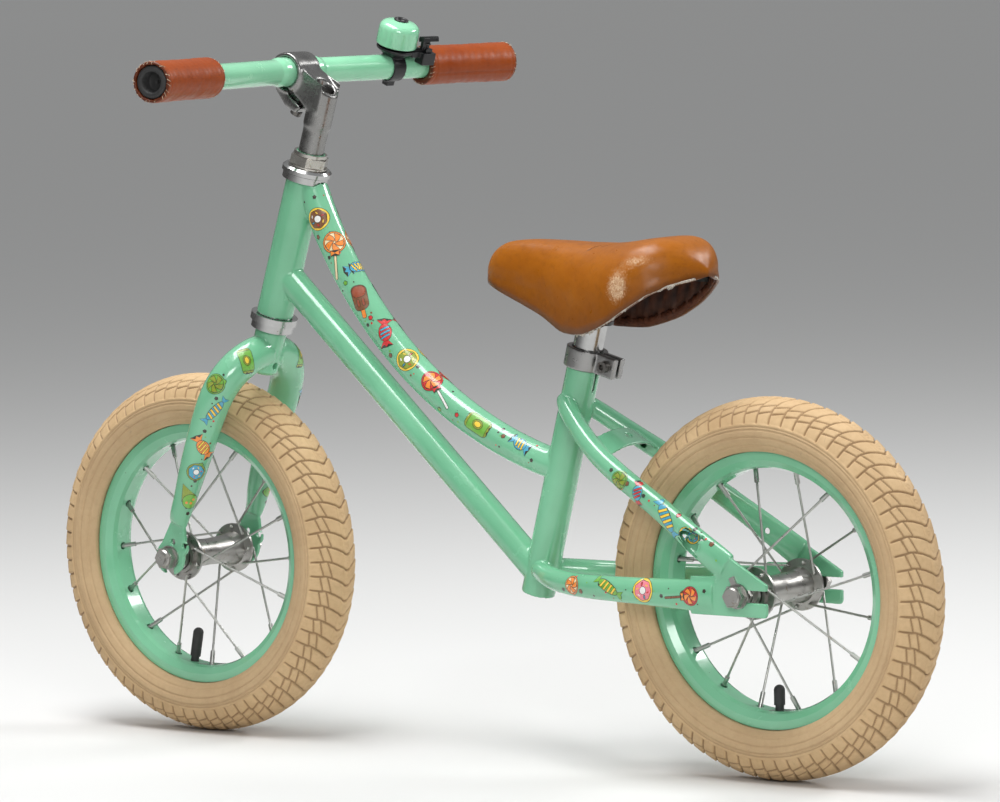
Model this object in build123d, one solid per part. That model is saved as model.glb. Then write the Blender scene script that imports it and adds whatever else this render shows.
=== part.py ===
from build123d import *
import os
from math import atan2, cos, degrees, hypot, pi, radians, sin, tan

# A child's balance bike. X points forwards, Y to the rider's left, Z up. The origin is on the ground,
# midway between the axles. All sizes are in millimetres.

# ---- driving dimensions ----
WHEELBASE = 606.6
TYRE_R = 157.0
TYRE_HALF_WIDTH = 28.0
TYRE_HALF_HEIGHT = 25.5
RIM_R = 113.5
RIM_INNER_R = 99.5
RIM_HALF_WIDTH = 16.0
SPOKE_COUNT = 16
SPOKE_R = 1.0
FLANGE_R = 21.5
SPOKE_CIRCLE_R = 18.5
FLANGE_Y = 34.0
AXLE_R = 4.76
AXLE_HALF = 64.5
BALL_R = 2.5
VALVE_TIP = {"front": 74.0, "rear": 83.0}

HEAD_ANGLE = 72.2
FORK_RAKE = 14.2
HEAD_TUBE_R = 16.0
HEAD_TUBE_BORE = 15.0
HEAD_LOW = 221.0
HEAD_HIGH = 344.0
STEERER_R = 12.7
STEERER_BORE = 11.15
STEERER_TOP = 369.0
CROWN_LOW = 168.0
CROWN_HOLE = 177.5

SEAT_ANGLE = 74.56
SEAT_TUBE_R = 14.3
SEAT_TUBE_BORE = 12.76
SEAT_TUBE_FOOT = (-58.7, 140.0)
SEAT_TUBE_LENGTH = 215.0
SEAT_POST_R = 12.7

TOP_TUBE_R = 13.2
TOP_TUBE_ARC_CENTRE = (-170.7, 606.3)
TOP_TUBE_ARC_R = 368.4
DOWN_TUBE_R = 12.7
DOWN_TUBE_HIGH = (203.0, 399.4)
DOWN_TUBE_SLOPE = 42.5
TUBE_WALL = 1.5

FRONT_PLATE_Y = 50.4
REAR_PLATE_Y = 53.8
PLATE = 4.0
EYELETS = ((-3.8, 13.6), (-16.4, 10.6))

BAR_CENTRE = (190.6, 577.2)
BAR_R = 11.1
BAR_BULGE_R = 12.7
BAR_HALF = 236.0
BAR_STRAIGHT = 29.0
BAR_SWEEP = 11.6
GRIP_INNER = 143.5
GRIP_R = 17.6
STEM_R = 12.2
QUILL_R = 11.1
STEM_CLAMP_R = 17.0
STEM_CLAMP_HALF = 15.0
STEM_SLIT_ANGLE = 37.0
STEM_SLIT_MIDDLE = (183.5, 552.0)
STEM_STEP = 390.5
STEM_TOP = 428.5
QUILL_FOOT = 296.0
WEDGE_FOOT = 268.0
STEM_SLANT = 28.0
WEDGE_SLANT = 30.0

BELL_Y = -111.0
BELL_TILT = 20.0
BELL_R = 18.0
BELL_BASE = 15.5
BELL_TOP = 43.0
LEVER_PIVOT = (-15.0, -23.0)
HAMMER = (7.9, 12.1)
STRAP_R = 12.8

# The saddle's cross-sections from nose to tail: (x, half width, height of the top, height of the lower edge).
SADDLE_FORM = [
    (-17, 7, 412, 402),
    (-24, 15, 427, 400.5),
    (-40, 21, 436, 395),
    (-64, 25, 437.6, 386.5),
    (-92, 31, 437, 376.5),
    (-118, 40, 435.8, 364),
    (-145, 49, 435.4, 363),
    (-172, 57, 438, 371.5),
    (-195, 57.5, 441.5, 385),
    (-212, 50, 443, 397),
    (-226, 37, 438.5, 404),
    (-236.5, 17, 427, 407),
]

# ---- frames of reference ----
WHEELS = {"front": WHEELBASE / 2, "rear": -WHEELBASE / 2}
HEAD_LEAN = radians(90 - HEAD_ANGLE)
# The steering axis passes this far behind the front axle, at the height of the axle.
STEER_X = WHEELBASE / 2 - FORK_RAKE / cos(HEAD_LEAN)
STEER = Plane(
    origin=(STEER_X, 0, TYRE_R),
    x_dir=(cos(HEAD_LEAN), 0, sin(HEAD_LEAN)),
    z_dir=(-sin(HEAD_LEAN), 0, cos(HEAD_LEAN)),
).location
SEAT_LEAN = radians(90 - SEAT_ANGLE)
SEAT = Plane(
    origin=(SEAT_TUBE_FOOT[0], 0, SEAT_TUBE_FOOT[1]),
    x_dir=(cos(SEAT_LEAN), 0, sin(SEAT_LEAN)),
    z_dir=(-sin(SEAT_LEAN), 0, cos(SEAT_LEAN)),
).location


# ---- helpers ----
def save(name, *solids):
    """Write one node, made of one solid or of a group of separate ones."""
    found = [solid for shape in solids for solid in shape.solids()]
    shape = found[0] if len(found) == 1 else Compound(found)
    export_step(shape, f"parts/{name}.step")


def largest(shape):
    """The largest solid of a cut shape, without the offcuts."""
    return max(shape.solids(), key=lambda solid: solid.volume)


def turned_z(*points):
    """A ring or shaft turned about Z, from (radius, height) points."""
    return revolve(make_face(Polyline(*[(r, 0, z) for r, z in points], close=True)), Axis.Z)


def turned_y(*points):
    """A ring or shaft turned about Y, from (radius, y) points."""
    return revolve(make_face(Polyline(*[(r, y, 0) for r, y in points], close=True)), Axis.Y)


def rod(start, end, radius):
    """A round bar between two points."""
    a, b = Vector(*start), Vector(*end)
    return Plane(origin=a, z_dir=b - a).location * Cylinder(
        radius, (b - a).length, align=(Align.CENTER, Align.CENTER, Align.MIN)
    )


def tube_z(outer, inner, low, high):
    """A tube about Z."""
    return turned_z((inner, low), (outer, low), (outer, high), (inner, high))


def both_sides(shape):
    """A shape and its mirror image on the other side of the bike."""
    return shape, mirror(shape, Plane.XZ)


def side_plate(points, y, thickness, holes=()):
    """A flat plate in the side view, from (x, z) points, with round (x, z, radius) holes."""
    face = make_face(Polyline(*[(x, 0, z) for x, z in points], close=True))
    plate = Pos(0, y - thickness / 2, 0) * extrude(face, amount=thickness, dir=(0, 1, 0))
    for x, z, radius in holes:
        plate -= rod((x, y - thickness, z), (x, y + thickness, z), radius)
    return plate


def lofted_tube(stations, wall, solid_ends=0):
    """A tube of changing oval section. A station is (x, y, z, half_height, half_width)."""

    def section(index, shrink):
        x, y, z, high, wide = stations[index]
        before = stations[max(index - 1, 0)]
        after = stations[min(index + 1, len(stations) - 1)]
        along = Vector(*[after[i] - before[i] for i in range(3)]).normalized()
        upward = Vector(0, 1, 0).cross(along).normalized()
        return Plane(origin=(x, y, z), x_dir=upward, z_dir=along) * Ellipse(high - shrink, wide - shrink)

    outer = loft([section(i, 0) for i in range(len(stations))])
    inner = loft([section(i, wall) for i in range(len(stations) - solid_ends)])
    return outer - inner


# ---- frame ----
def seat_tube_core(grow=0.0):
    return SEAT * Cylinder(SEAT_TUBE_R + grow, 2 * SEAT_TUBE_LENGTH)


def head_tube_core(grow=0.0):
    return STEER * tube_z(HEAD_TUBE_R + grow, 0.01, HEAD_LOW - 60, HEAD_HIGH + 60)


def head_tube():
    return STEER * tube_z(HEAD_TUBE_R, HEAD_TUBE_BORE, HEAD_LOW, HEAD_HIGH)


def seat_tube():
    """Open at both ends, with the slit that lets the collar close it at the back."""
    tube = tube_z(SEAT_TUBE_R, SEAT_TUBE_BORE, 0, SEAT_TUBE_LENGTH)
    slit = Pos(-SEAT_TUBE_R, 0, SEAT_TUBE_LENGTH - 14) * Box(10, 2.4, 40)
    drain = rod((8, 0, 5), (20, 0, 5), 1.8)
    return SEAT * (tube - slit - drain)


def top_tube():
    """A plain tube bent on one long arc, mitred to the head tube and the seat tube."""
    cx, cz = TOP_TUBE_ARC_CENTRE
    start = degrees(atan2(477 - cz, hypot(TOP_TUBE_ARC_R, 477 - cz)))

    def on_arc(angle):
        return (cx + TOP_TUBE_ARC_R * cos(radians(angle)), 0, cz + TOP_TUBE_ARC_R * sin(radians(angle)))

    high, low = start - 1.5, -79
    path = ThreePointArc(on_arc(high), on_arc((high + low) / 2), on_arc(low))
    face = Plane(origin=path @ 0, z_dir=path % 0) * (Circle(TOP_TUBE_R) - Circle(TOP_TUBE_R - TUBE_WALL))
    cup_room = STEER * tube_z(20.6, 0.01, HEAD_HIGH, HEAD_HIGH + 30)
    return largest(sweep(face, path=path) - head_tube_core() - seat_tube_core() - cup_room)


def down_tube_axis():
    x, z = DOWN_TUBE_HIGH
    run = 375.0
    slope = radians(DOWN_TUBE_SLOPE)
    return (x, 0, z), (x - run * cos(slope), 0, z - run * sin(slope))


def down_tube():
    high, low = down_tube_axis()
    tube = rod(high, low, DOWN_TUBE_R) - rod(high, low, DOWN_TUBE_R - TUBE_WALL)
    return largest(tube - head_tube_core() - seat_tube_core())


def seat_stay():
    """Springs from the side of the seat tube, bends back beside the wheel, and flattens at the dropout."""
    stations = [
        (-97, 6, 305, 8.2, 8.2),
        (-110, 18, 295, 8.2, 8.2),
        (-132, 30, 278.5, 8.4, 8.4),
        (-158, 40, 261, 8.8, 8.6),
        (-190, 45.5, 242, 9.2, 8.4),
        (-240, 49.5, 211.5, 10.4, 7.4),
        (-272, 52, 191, 12, 6.2),
        (-291, 53.4, 179, 12.5, 5),
    ]
    stay = lofted_tube(stations, TUBE_WALL, solid_ends=1) - seat_tube_core() - rear_plate()
    for x, y, z in ((-150, 30, 266.3), (-262, 45, 197.7)):
        stay -= rod((x, y - 12, z), (x, y + 8, z), 2.6)
    return largest(stay)


def chain_stay():
    """Springs from the foot of the seat tube, bows outwards and grows taller towards the dropout."""
    stations = [
        (-65, 4, 161, 8.6, 8.6),
        (-77, 16, 160, 8.8, 8.8),
        (-95, 29, 158, 9.2, 9),
        (-122, 40, 156, 9.8, 9),
        (-160, 47.5, 155.3, 10.4, 8.8),
        (-215, 51.5, 155.2, 11.6, 7.6),
        (-262, 53.4, 155.2, 13, 5.6),
        (-279, 53.8, 155.2, 13.3, 5),
    ]
    return largest(lofted_tube(stations, TUBE_WALL, solid_ends=1) - seat_tube_core() - rear_plate())


def rear_plate():
    """A plate with a slot open to the rear, between the ends of the two stays."""
    axle_x = WHEELS["rear"]
    outline = [
        (-256, 140),
        (-329, 140),
        (-331, 143),
        (-331, 152),
        (axle_x, 152),
        (axle_x, 162),
        (-331, 162),
        (-331, 167),
        (-284, 194),
        (-266, 200),
        (-262, 190),
        (-286, 172),
        (-256, 171),
    ]
    plate = side_plate(outline, REAR_PLATE_Y, PLATE, holes=[(-297.8, 169.9, 1.8)])
    return plate - rod((axle_x, 40, 157), (axle_x, 70, 157), 5.0)


def stay_bridge():
    """An arch over the tyre from one seat stay to the other, with a hole for a mudguard."""
    along = Plane(origin=(-147, 0, 268.2), x_dir=(-0.855, 0, -0.519), z_dir=(0, 1, 0))
    rise, foot, skin, depth = 13.0, 40.0, 2.5, 11.0
    outer = ThreePointArc((-foot, 0, 0), (0, 0, rise), (foot, 0, 0))
    inner = ThreePointArc((foot, 0, -skin), (0, 0, rise - skin), (-foot, 0, -skin))
    edges = [outer, Line((foot, 0, 0), (foot, 0, -skin)), inner, Line((-foot, 0, -skin), (-foot, 0, 0))]
    web = extrude(make_face(edges), amount=depth, dir=(0, 1, 0), both=True)
    frame = Plane(origin=(-150, 0, 266), x_dir=(0, 1, 0), z_dir=(-0.519, 0, 0.855)).location
    bridge = frame * (web - rod((0, 0, 0), (0, 0, 30), 3.0))
    for stay in both_sides(stay_envelope()):
        bridge -= stay
    return largest(bridge)


def stay_envelope():
    """The seat stay's outside near the bridge, filled in."""
    return rod((-110, 18, 295), (-132, 30, 278.5), 8.6) + lofted_solid(
        [
            (-120, 23.5, 287.5, 8.4, 8.4),
            (-132, 30, 278.5, 8.6, 8.6),
            (-158, 40, 261, 9, 8.8),
            (-190, 45.5, 242, 9.4, 8.6),
        ]
    )


def lofted_solid(stations):
    sections = []
    for index, (x, y, z, high, wide) in enumerate(stations):
        before = stations[max(index - 1, 0)]
        after = stations[min(index + 1, len(stations) - 1)]
        along = Vector(*[after[i] - before[i] for i in range(3)]).normalized()
        upward = Vector(0, 1, 0).cross(along).normalized()
        sections.append(Plane(origin=(x, y, z), x_dir=upward, z_dir=along) * Ellipse(high, wide))
    return loft(sections)


def seat_clamp():
    """A collar with two ears at the back, on the top of the seat tube."""
    low, high = SEAT_TUBE_LENGTH - 16, SEAT_TUBE_LENGTH + 1
    middle = (low + high) / 2
    body = Pos(0, 0, middle) * Cylinder(SEAT_TUBE_R + 3.2, high - low)
    ears = Pos(-SEAT_TUBE_R - 9, 0, middle) * Box(22, 15, high - low)
    collar = body + ears
    collar -= Pos(0, 0, middle) * Cylinder(SEAT_TUBE_R, high - low + 2)
    collar -= Pos(-SEAT_TUBE_R - 9, 0, middle) * Box(26, 3.4, high - low + 2)
    collar -= rod((-SEAT_TUBE_R - 11, -20, middle), (-SEAT_TUBE_R - 11, 20, middle), 3.05)
    lip = tube_z(SEAT_TUBE_R + 0.5, SEAT_TUBE_BORE + 0.3, SEAT_TUBE_LENGTH, high)
    return SEAT * (largest(collar) + lip - Pos(-SEAT_TUBE_R, 0, middle) * Box(30, 3.4, 30))


def seat_clamp_bolt():
    x, z = -SEAT_TUBE_R - 11, SEAT_TUBE_LENGTH - 7.5
    shank = rod((x, -9.5, z), (x, 7.5, z), 3.0)
    head = rod((x, 7.5, z), (x, 12, z), 4.8) - rod((x, 9, z), (x, 13, z), 2.4)
    nut = Pos(x, -9.5, z) * (Rot(90, 0, 0) * extrude(RegularPolygon(5, 6), 4, both=True))
    return SEAT * (shank + head + (nut & Pos(x, -9.5, z) * Box(20, 4, 20)))


def headset_cups():
    """Two cups pressed into the head tube, flaring out to hold the balls."""
    def cup(edge, away, radius, depth):
        """A cup at one end of the head tube: away is 1 at the top and -1 at the foot."""
        profile = [(13.6, -8), (15.0, -8), (15.0, 0), (radius, 0), (radius, depth), (radius - 1.5, depth)]
        profile += [(radius - 1.5, 1.6), (13.6, 1.6)]
        return STEER * turned_z(*[(r, edge + away * z) for r, z in profile])

    return cup(HEAD_LOW, -1, 20.5, 6.0), cup(HEAD_HIGH, 1, 20.0, 5.6)


# ---- fork ----
def steerer():
    """The tube that turns in the head tube, with a stout lower end that the legs join."""
    root = [(0, CROWN_LOW), (10, CROWN_LOW), (13.2, CROWN_LOW + 3), (13.6, 200), (13.6, 206)]
    tube = [(STEERER_R, 208), (STEERER_R, STEERER_TOP), (STEERER_BORE, STEERER_TOP), (STEERER_BORE, 196)]
    shape = turned_z(*root, *tube, (0, 190))
    return STEER * (shape - rod((-20, 0, CROWN_HOLE), (20, 0, CROWN_HOLE), 3.1))


def fork_leg():
    """Arches out of the steerer, runs down beside the tyre with a little rake, and tapers to its end."""
    local = [
        (0, 4, 187, 14.6),
        (0.5, 16, 185, 14.8),
        (1.5, 28, 178.5, 15),
        (3.2, 37.5, 169, 15),
        (5.6, 44.5, 155, 14.8),
        (8.6, 47.8, 131, 14.2),
        (11.0, 48.6, 99, 13.2),
        (12.6, 49.2, 72, 11.8),
        (13.6, 50.0, 46, 9.8),
    ]
    sections, bores = [], []
    for index, (x, y, z, radius) in enumerate(local):
        before, after = local[max(index - 1, 0)], local[min(index + 1, len(local) - 1)]
        along = Vector(*[after[i] - before[i] for i in range(3)]).normalized()
        plane = Plane(origin=(x, y, z), x_dir=Vector(0, 1, 0).cross(along), z_dir=along)
        sections.append(plane * Circle(radius))
        bores.append(plane * Circle(radius - TUBE_WALL))
    end = Plane(origin=(14.1, 50.4, 27), x_dir=(1, 0, 0), z_dir=(0, 0, -1))
    sections.append(end * Ellipse(8.6, 5.4))
    leg = loft(sections) - loft(bores[:-1]) - turned_z((0, 100), (14.6, 100), (14.6, 215), (0, 215))
    leg -= rod((11.8, 30, 84), (11.8, 44, 84), 2.4)
    return STEER * largest(leg) - front_plate()


def front_plate():
    """A plate on the end of the leg, with two eyelets and a slot open downwards for the axle."""
    x, z = WHEELS["front"], TYRE_R
    body = Sketch() + Circle(15.5) + Pos(-13, 8.5) * Circle(7) + Pos(-2, 13) * Circle(7)
    body += make_face(Polyline((-18, 15), (-16, 33), (-3, 33), (7, 16), (13, 4), (-10, 0), close=True))
    body -= Pos(1.5, -10) * Rot(0, 0, -8) * Rectangle(10, 22)
    body -= Circle(5.0)
    for eyelet in EYELETS:
        body -= Pos(*eyelet) * Circle(2.6)
    middle = Plane((x, FRONT_PLATE_Y, z), x_dir=(1, 0, 0), z_dir=(0, -1, 0))
    return largest(extrude(middle * body, PLATE / 2, both=True))


def crown_race():
    """The race that the lower balls run on."""
    return STEER * tube_z(18.4, STEERER_R, 208.2, HEAD_LOW - 6.1)


def headset_race():
    """The threaded race that sets the play in the upper bearing."""
    low = HEAD_HIGH + 6.2
    high = low + 5.6
    return STEER * turned_z((STEERER_R, low), (21.5, low), (21.5, high - 2), (19.5, high), (STEERER_R, high))


def headset_nuts():
    """A washer, and a hexagon lock nut with a round collar."""
    low = HEAD_HIGH + 11.8
    washer = tube_z(17, STEERER_R, low, low + 1.8)
    nut = Pos(0, 0, low + 1.8) * extrude(RegularPolygon(17.4, 6), 8)
    nut += Pos(0, 0, low + 9.8) * Cylinder(14.4, 3.2, align=(Align.CENTER, Align.CENTER, Align.MIN))
    bore = Cylinder(STEERER_R, STEERER_TOP * 2) + Cylinder(STEERER_BORE + 0.3, 1000)
    return STEER * washer, STEER * (nut - bore)


def ball_ring(radius, z, count, ball):
    """Loose balls in a ring about Z."""
    turns = [2 * pi * i / count for i in range(count)]
    return [Pos(radius * cos(turn), radius * sin(turn), z) * Sphere(ball) for turn in turns]


def headset_balls():
    low = ball_ring(16.3, HEAD_LOW - 1.7 - 2.2, 18, 2.1)
    high = ball_ring(16.2, HEAD_HIGH + 1.7 + 2.2, 18, 2.1)
    return [STEER * ball for ball in low + high]


# ---- wheels ----
def ring_y(face):
    return revolve(face, Axis.Y)


def tyre():
    """A C-shaped casing whose beads sit inside the rim."""
    mid = TYRE_R - TYRE_HALF_HEIGHT
    casing = Pos(mid, 0) * Ellipse(TYRE_HALF_HEIGHT, TYRE_HALF_WIDTH)
    casing -= Pos(mid - 1, 0) * Ellipse(TYRE_HALF_HEIGHT - 3.6, TYRE_HALF_WIDTH - 2.4)
    casing -= Pos(mid - TYRE_HALF_HEIGHT, 0) * Rectangle(16, 60)
    for side in (1, -1):
        points = [(107.0, 13.6), (113.6, 13.6), (116.5, 21.5), (118, 18.5), (114.5, 11.4), (107.0, 11.4)]
        casing += make_face(Polyline(*[(r, side * y) for r, y in points], close=True))
    return ring_y(casing)


def inner_tube():
    mid = TYRE_R - TYRE_HALF_HEIGHT + 1.5
    return ring_y(Pos(mid, 0) * (Ellipse(16.5, 21.0) - Ellipse(15.5, 20.0)))


def rim(valve_turn):
    """A painted U-section, wide enough for the tyre's beads."""
    w, low, high = RIM_HALF_WIDTH, RIM_INNER_R, RIM_R
    outside = [(high, w), (low + 7, w), (low + 1.5, w - 4), (low, w - 8)]
    inside = [(low + 2, w - 9), (low + 3.6, w - 6), (low + 7.2, w - 2.2), (high, w - 2.2)]
    half = inside + outside
    ring = ring_y(make_face(Polyline(*half, *[(r, -y) for r, y in reversed(half)], close=True)))
    for index in range(SPOKE_COUNT):
        ring -= Rot(0, spoke_angle(index), 0) * rod((low - 4, 0, 0), (low + 4, 0, 0), 3.3)
    return ring - Rot(0, valve_turn, 0) * rod((0, 0, -low + 4), (0, 0, -low - 4), 4.2)


def spoke_angle(index):
    return 360 / SPOKE_COUNT * index


def spoke_ends(index):
    """Where a spoke leaves its flange, where its head sits on the flange's other face, and its rim hole."""
    side = 1 if index % 2 else -1
    lead = 45 if (index // 2) % 2 else -45
    rim_turn, hub_turn = radians(spoke_angle(index)), radians(spoke_angle(index) + lead)
    step = 4.7 if lead > 0 else -3.8
    x, z = SPOKE_CIRCLE_R * cos(hub_turn), -SPOKE_CIRCLE_R * sin(hub_turn)
    leaves = Vector(x, side * (FLANGE_Y + step), z)
    head = Vector(x, side * (FLANGE_Y - (2.9 if lead > 0 else -2.9)), z)
    seat = Vector((RIM_INNER_R + 1) * cos(rim_turn), 0, -(RIM_INNER_R + 1) * sin(rim_turn))
    return leaves, head, seat


def spokes():
    """Each flange holds half of the spokes, which cross in pairs and bend where they pass the flange."""
    made, nuts = [], []
    for index in range(SPOKE_COUNT):
        leaves, head, seat = spoke_ends(index)
        inward = (leaves - seat).normalized()
        wire = rod(leaves, seat + inward * 6, SPOKE_R)
        wire_end = rod(leaves, head, SPOKE_R)
        made.append(wire + Pos(leaves) * Sphere(SPOKE_R) + wire_end + Pos(head) * Sphere(1.7))
        nuts.append(rod(seat - inward * 1.5, seat + inward * 13, 2.0) - wire)
    return made, nuts


def hub():
    """A barrel with two drilled flanges, and a cup for the balls at each end."""
    barrel = [(6, 0), (11.5, 0), (12.5, 22), (15, 31), (FLANGE_R, 32.9), (FLANGE_R, 35.1)]
    half = barrel + [(15.4, 35.1), (15.0, 39), (12.3, 39), (12.3, 31.4), (6, 31.4)]
    shell = turned_y(*half) + turned_y(*[(r, -y) for r, y in half])
    for index in range(SPOKE_COUNT):
        leaves, head, seat = spoke_ends(index)
        shell -= rod(leaves, head, 1.3)
    return shell


def hub_balls():
    ring = ball_ring(9.7, 34.0, 9, BALL_R)
    return [Rot(90, 0, 0) * ball for ball in ring] + [Rot(-90, 0, 0) * ball for ball in ring]


def valve(tip):
    """A rubber-covered valve stem with its cap, pointing at the hub through the bottom of the rim."""
    stem = rod((0, 0, -108), (0, 0, -95), 3.6)
    return stem + rod((0, 0, -95), (0, 0, -tip), 4.6) + Pos(0, 0, -tip) * Sphere(4.6)


def axle():
    return rod((0, -AXLE_HALF, 0), (0, AXLE_HALF, 0), AXLE_R)


def cones(plate_y):
    """A cone with its dust ring, and the lock nut between it and the dropout, on each side."""
    face = plate_y - PLATE / 2
    cone = [(AXLE_R, 31.9), (6.4, 31.9), (7.1, 33), (7.1, 36.7)]
    profile = cone + [(11.4, 36.9), (11.4, 40.2), (9.2, 41), (9.2, face - 4), (AXLE_R, face - 4)]
    nut = Pos(0, face - 4, 0) * (Rot(-90, 0, 0) * extrude(RegularPolygon(9.4, 6), 4)) - axle()
    return [*both_sides(turned_y(*profile)), *both_sides(nut)]


def axle_nuts(plate_y):
    """A domed hexagon nut on each end."""
    face = plate_y + PLATE / 2 + 2
    nut = Pos(0, face, 0) * (Rot(-90, 0, 0) * extrude(RegularPolygon(9.8, 6), 6.5))
    nut += turned_y((0, face), (7.9, face), (7.9, face + 7.5), (6.9, face + 9), (0, face + 9))
    return both_sides(nut - axle())


def washers(plate_y, tab):
    """A thick washer against each dropout. A rear one has a tab that hooks into the plate's small hole."""
    face = plate_y + PLATE / 2
    ring = turned_y((AXLE_R, face), (10.4, face), (10.4, face + 2), (AXLE_R, face + 2))
    if tab:
        arm = Pos(3.6, face + 1, 11) * Rot(0, 24, 0) * Box(5, 2, 9)
        hook = rod((5.5, face - 3, 12.9), (5.5, face + 1, 12.9), 1.6)
        ring = ring + (arm - rod((0, face - 3, 0), (0, face + 3, 0), AXLE_R)) + hook
    return both_sides(ring)


# ---- stem and handlebar ----
def leaning(height, angle):
    """A place on the Z axis whose own Z leans forwards by an angle in degrees."""
    turn = radians(angle)
    return Plane(origin=(0, 0, height), x_dir=(0, 1, 0), z_dir=(sin(turn), 0, cos(turn))).location


def stem():
    """A cast gooseneck: a quill, a thicker neck cut off at a slant, and a split clamp for the bar."""
    quill = [(0, QUILL_FOOT), (QUILL_R, QUILL_FOOT), (QUILL_R, STEM_STEP)]
    neck = turned_z(*quill, (STEM_R, STEM_STEP + 1.5), (STEM_R, 452), (0, 452))
    slant = leaning(STEM_TOP, -STEM_SLANT)
    neck -= slant * Pos(0, 0, 40) * Box(120, 120, 80)
    neck -= Pos(0, 0, STEM_TOP - 16.2) * Cylinder(8.2, 60, align=(Align.CENTER, Align.CENTER, Align.MIN))
    neck -= Cylinder(4.3, 1200)
    neck -= leaning(QUILL_FOOT + 8, WEDGE_SLANT) * Pos(0, 0, -25) * Box(60, 60, 50)
    x, z = BAR_CENTRE
    ring = rod((x, -STEM_CLAMP_HALF, z), (x, STEM_CLAMP_HALF, z), STEM_CLAMP_R)
    shoulder = [(188, 594), (168, 577), (150, 566), (158, 541), (172, 546), (178, 553), (189, 562.5), (x, z)]
    web = side_plate(shoulder, 0, 24) - STEER * Cylinder(STEM_R - 3, 1200)
    web -= STEER * slant * Pos(0, 0, 40) * Box(23, 40, 80)
    tongue = [(205, 574), (206, 562), (196, 548), (185, 541.5), (178.5, 546), (192, 558.5), (196, 568)]
    body = STEER * neck + web + ring + side_plate(tongue, 0, 20)
    body -= rod((x, -60, z), (x, 60, z), BAR_BULGE_R + 0.05)
    body -= Pos(190, 0, 562) * Rot(0, -STEM_SLIT_ANGLE, 0) * Box(14, 60, 3.4)
    body -= clamp_bolt_place() * (Cylinder(3.05, 24) + Pos(0, 0, 17.8) * Cylinder(5.4, 16))
    return largest(body)


def clamp_bolt_place():
    """The middle of the clamp's slit, with Z pointing out of the tongue along the clamp bolt."""
    turn = radians(STEM_SLIT_ANGLE)
    x, z = STEM_SLIT_MIDDLE
    return Plane(origin=(x, 0, z), x_dir=(0, 1, 0), z_dir=(sin(turn), 0, -cos(turn))).location


def stem_clamp_bolt():
    shank = Cylinder(3.0, 21.6) + Pos(0, 0, 12) * Cylinder(4.9, 4.2) - Pos(0, 0, 14) * Cylinder(2.4, 4)
    return clamp_bolt_place() * shank


def stem_bolt():
    """Pulls the wedge up against the foot of the quill. Its head has a hexagon socket."""
    head = Pos(0, 0, STEM_TOP - 12.5) * Cylinder(6.6, 7)
    head -= Pos(0, 0, STEM_TOP - 9) * extrude(RegularPolygon(3.4, 6), 8, both=True)
    return STEER * (head + rod((0, 0, WEDGE_FOOT + 4), (0, 0, STEM_TOP - 12.5), 4.0))


def stem_wedge():
    wedge = turned_z((4.0, WEDGE_FOOT), (10.9, WEDGE_FOOT), (10.9, QUILL_FOOT + 20), (4.0, QUILL_FOOT + 20))
    return STEER * (wedge - leaning(QUILL_FOOT + 7.8, WEDGE_SLANT) * Pos(0, 0, 25) * Box(60, 60, 50))


def bar_point(y):
    """The middle line of the bar at a distance along the bike's width."""
    return Vector(BAR_CENTRE[0] - max(0, abs(y) - BAR_STRAIGHT) * tan(radians(BAR_SWEEP)), y, BAR_CENTRE[1])


def bar_frame(y):
    """A place on the bar: Z points outwards along it and X stays level, pointing forwards."""
    side = 1 if y > 0 else -1
    turn = radians(BAR_SWEEP)
    return Plane(
        origin=bar_point(y), x_dir=(cos(turn), side * sin(turn), 0), z_dir=(-sin(turn), side * cos(turn), 0)
    ).location


def bar_path():
    points = [bar_point(y) for y in (-BAR_HALF, -BAR_STRAIGHT, BAR_STRAIGHT, BAR_HALF)]
    return FilletPolyline(*points, radius=55)


def handlebar():
    """A tube swept back on both sides, swelled in the middle where the stem grips it."""
    path = bar_path()
    face = Plane(origin=path @ 0, z_dir=path % 0) * Circle(BAR_R)
    bore = Plane(origin=path @ 0, z_dir=path % 0) * Circle(BAR_R - 1.6)
    slim = BAR_R - 1.4
    bulge = turned_y((0, -36), (slim, -36), (BAR_BULGE_R, -24), (BAR_BULGE_R, 24), (slim, 36), (0, 36))
    bar = sweep(face, path=path) + Pos(BAR_CENTRE[0], 0, BAR_CENTRE[1]) * bulge
    return bar - sweep(bore, path=path)


def grip(side):
    """A sleeve with a rolled rim at each end."""
    length = (BAR_HALF - GRIP_INNER) / cos(radians(BAR_SWEEP))
    inner_rim = [(BAR_R, 0), (GRIP_R - 1.4, 0), (GRIP_R, 2), (GRIP_R - 0.2, 6)]
    shape = turned_z(*inner_rim, *[(r, length - z) for r, z in reversed(inner_rim)])
    return bar_frame(side * GRIP_INNER) * shape


def bar_plug(side):
    """A plug with a hollow middle and a flange over the end of the grip."""
    inner = BAR_R - 1.6
    flange = [(13.5, 0), (13.5, 2.2), (12, 3.2), (8.4, 3.2)]
    shape = turned_z((6.6, -14), (inner, -14), (inner, 0), *flange, (6.6, 1.5))
    cap = Pos(0, 0, -10) * Cylinder(6.6, 4)
    return bar_frame(side * BAR_HALF) * (shape + cap)


# ---- bell, in its own frame: Z along the dome's axis, origin on the bar's middle line ----
def bell_frame():
    sweep_turn, tilt = radians(BAR_SWEEP), radians(BELL_TILT)
    level = Vector(cos(sweep_turn), -sin(sweep_turn), 0)
    upright = Vector(0, 0, 1)
    return Plane(
        origin=bar_point(BELL_Y),
        x_dir=level * cos(tilt) + upright * sin(tilt),
        z_dir=upright * cos(tilt) - level * sin(tilt),
    ).location


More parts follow.
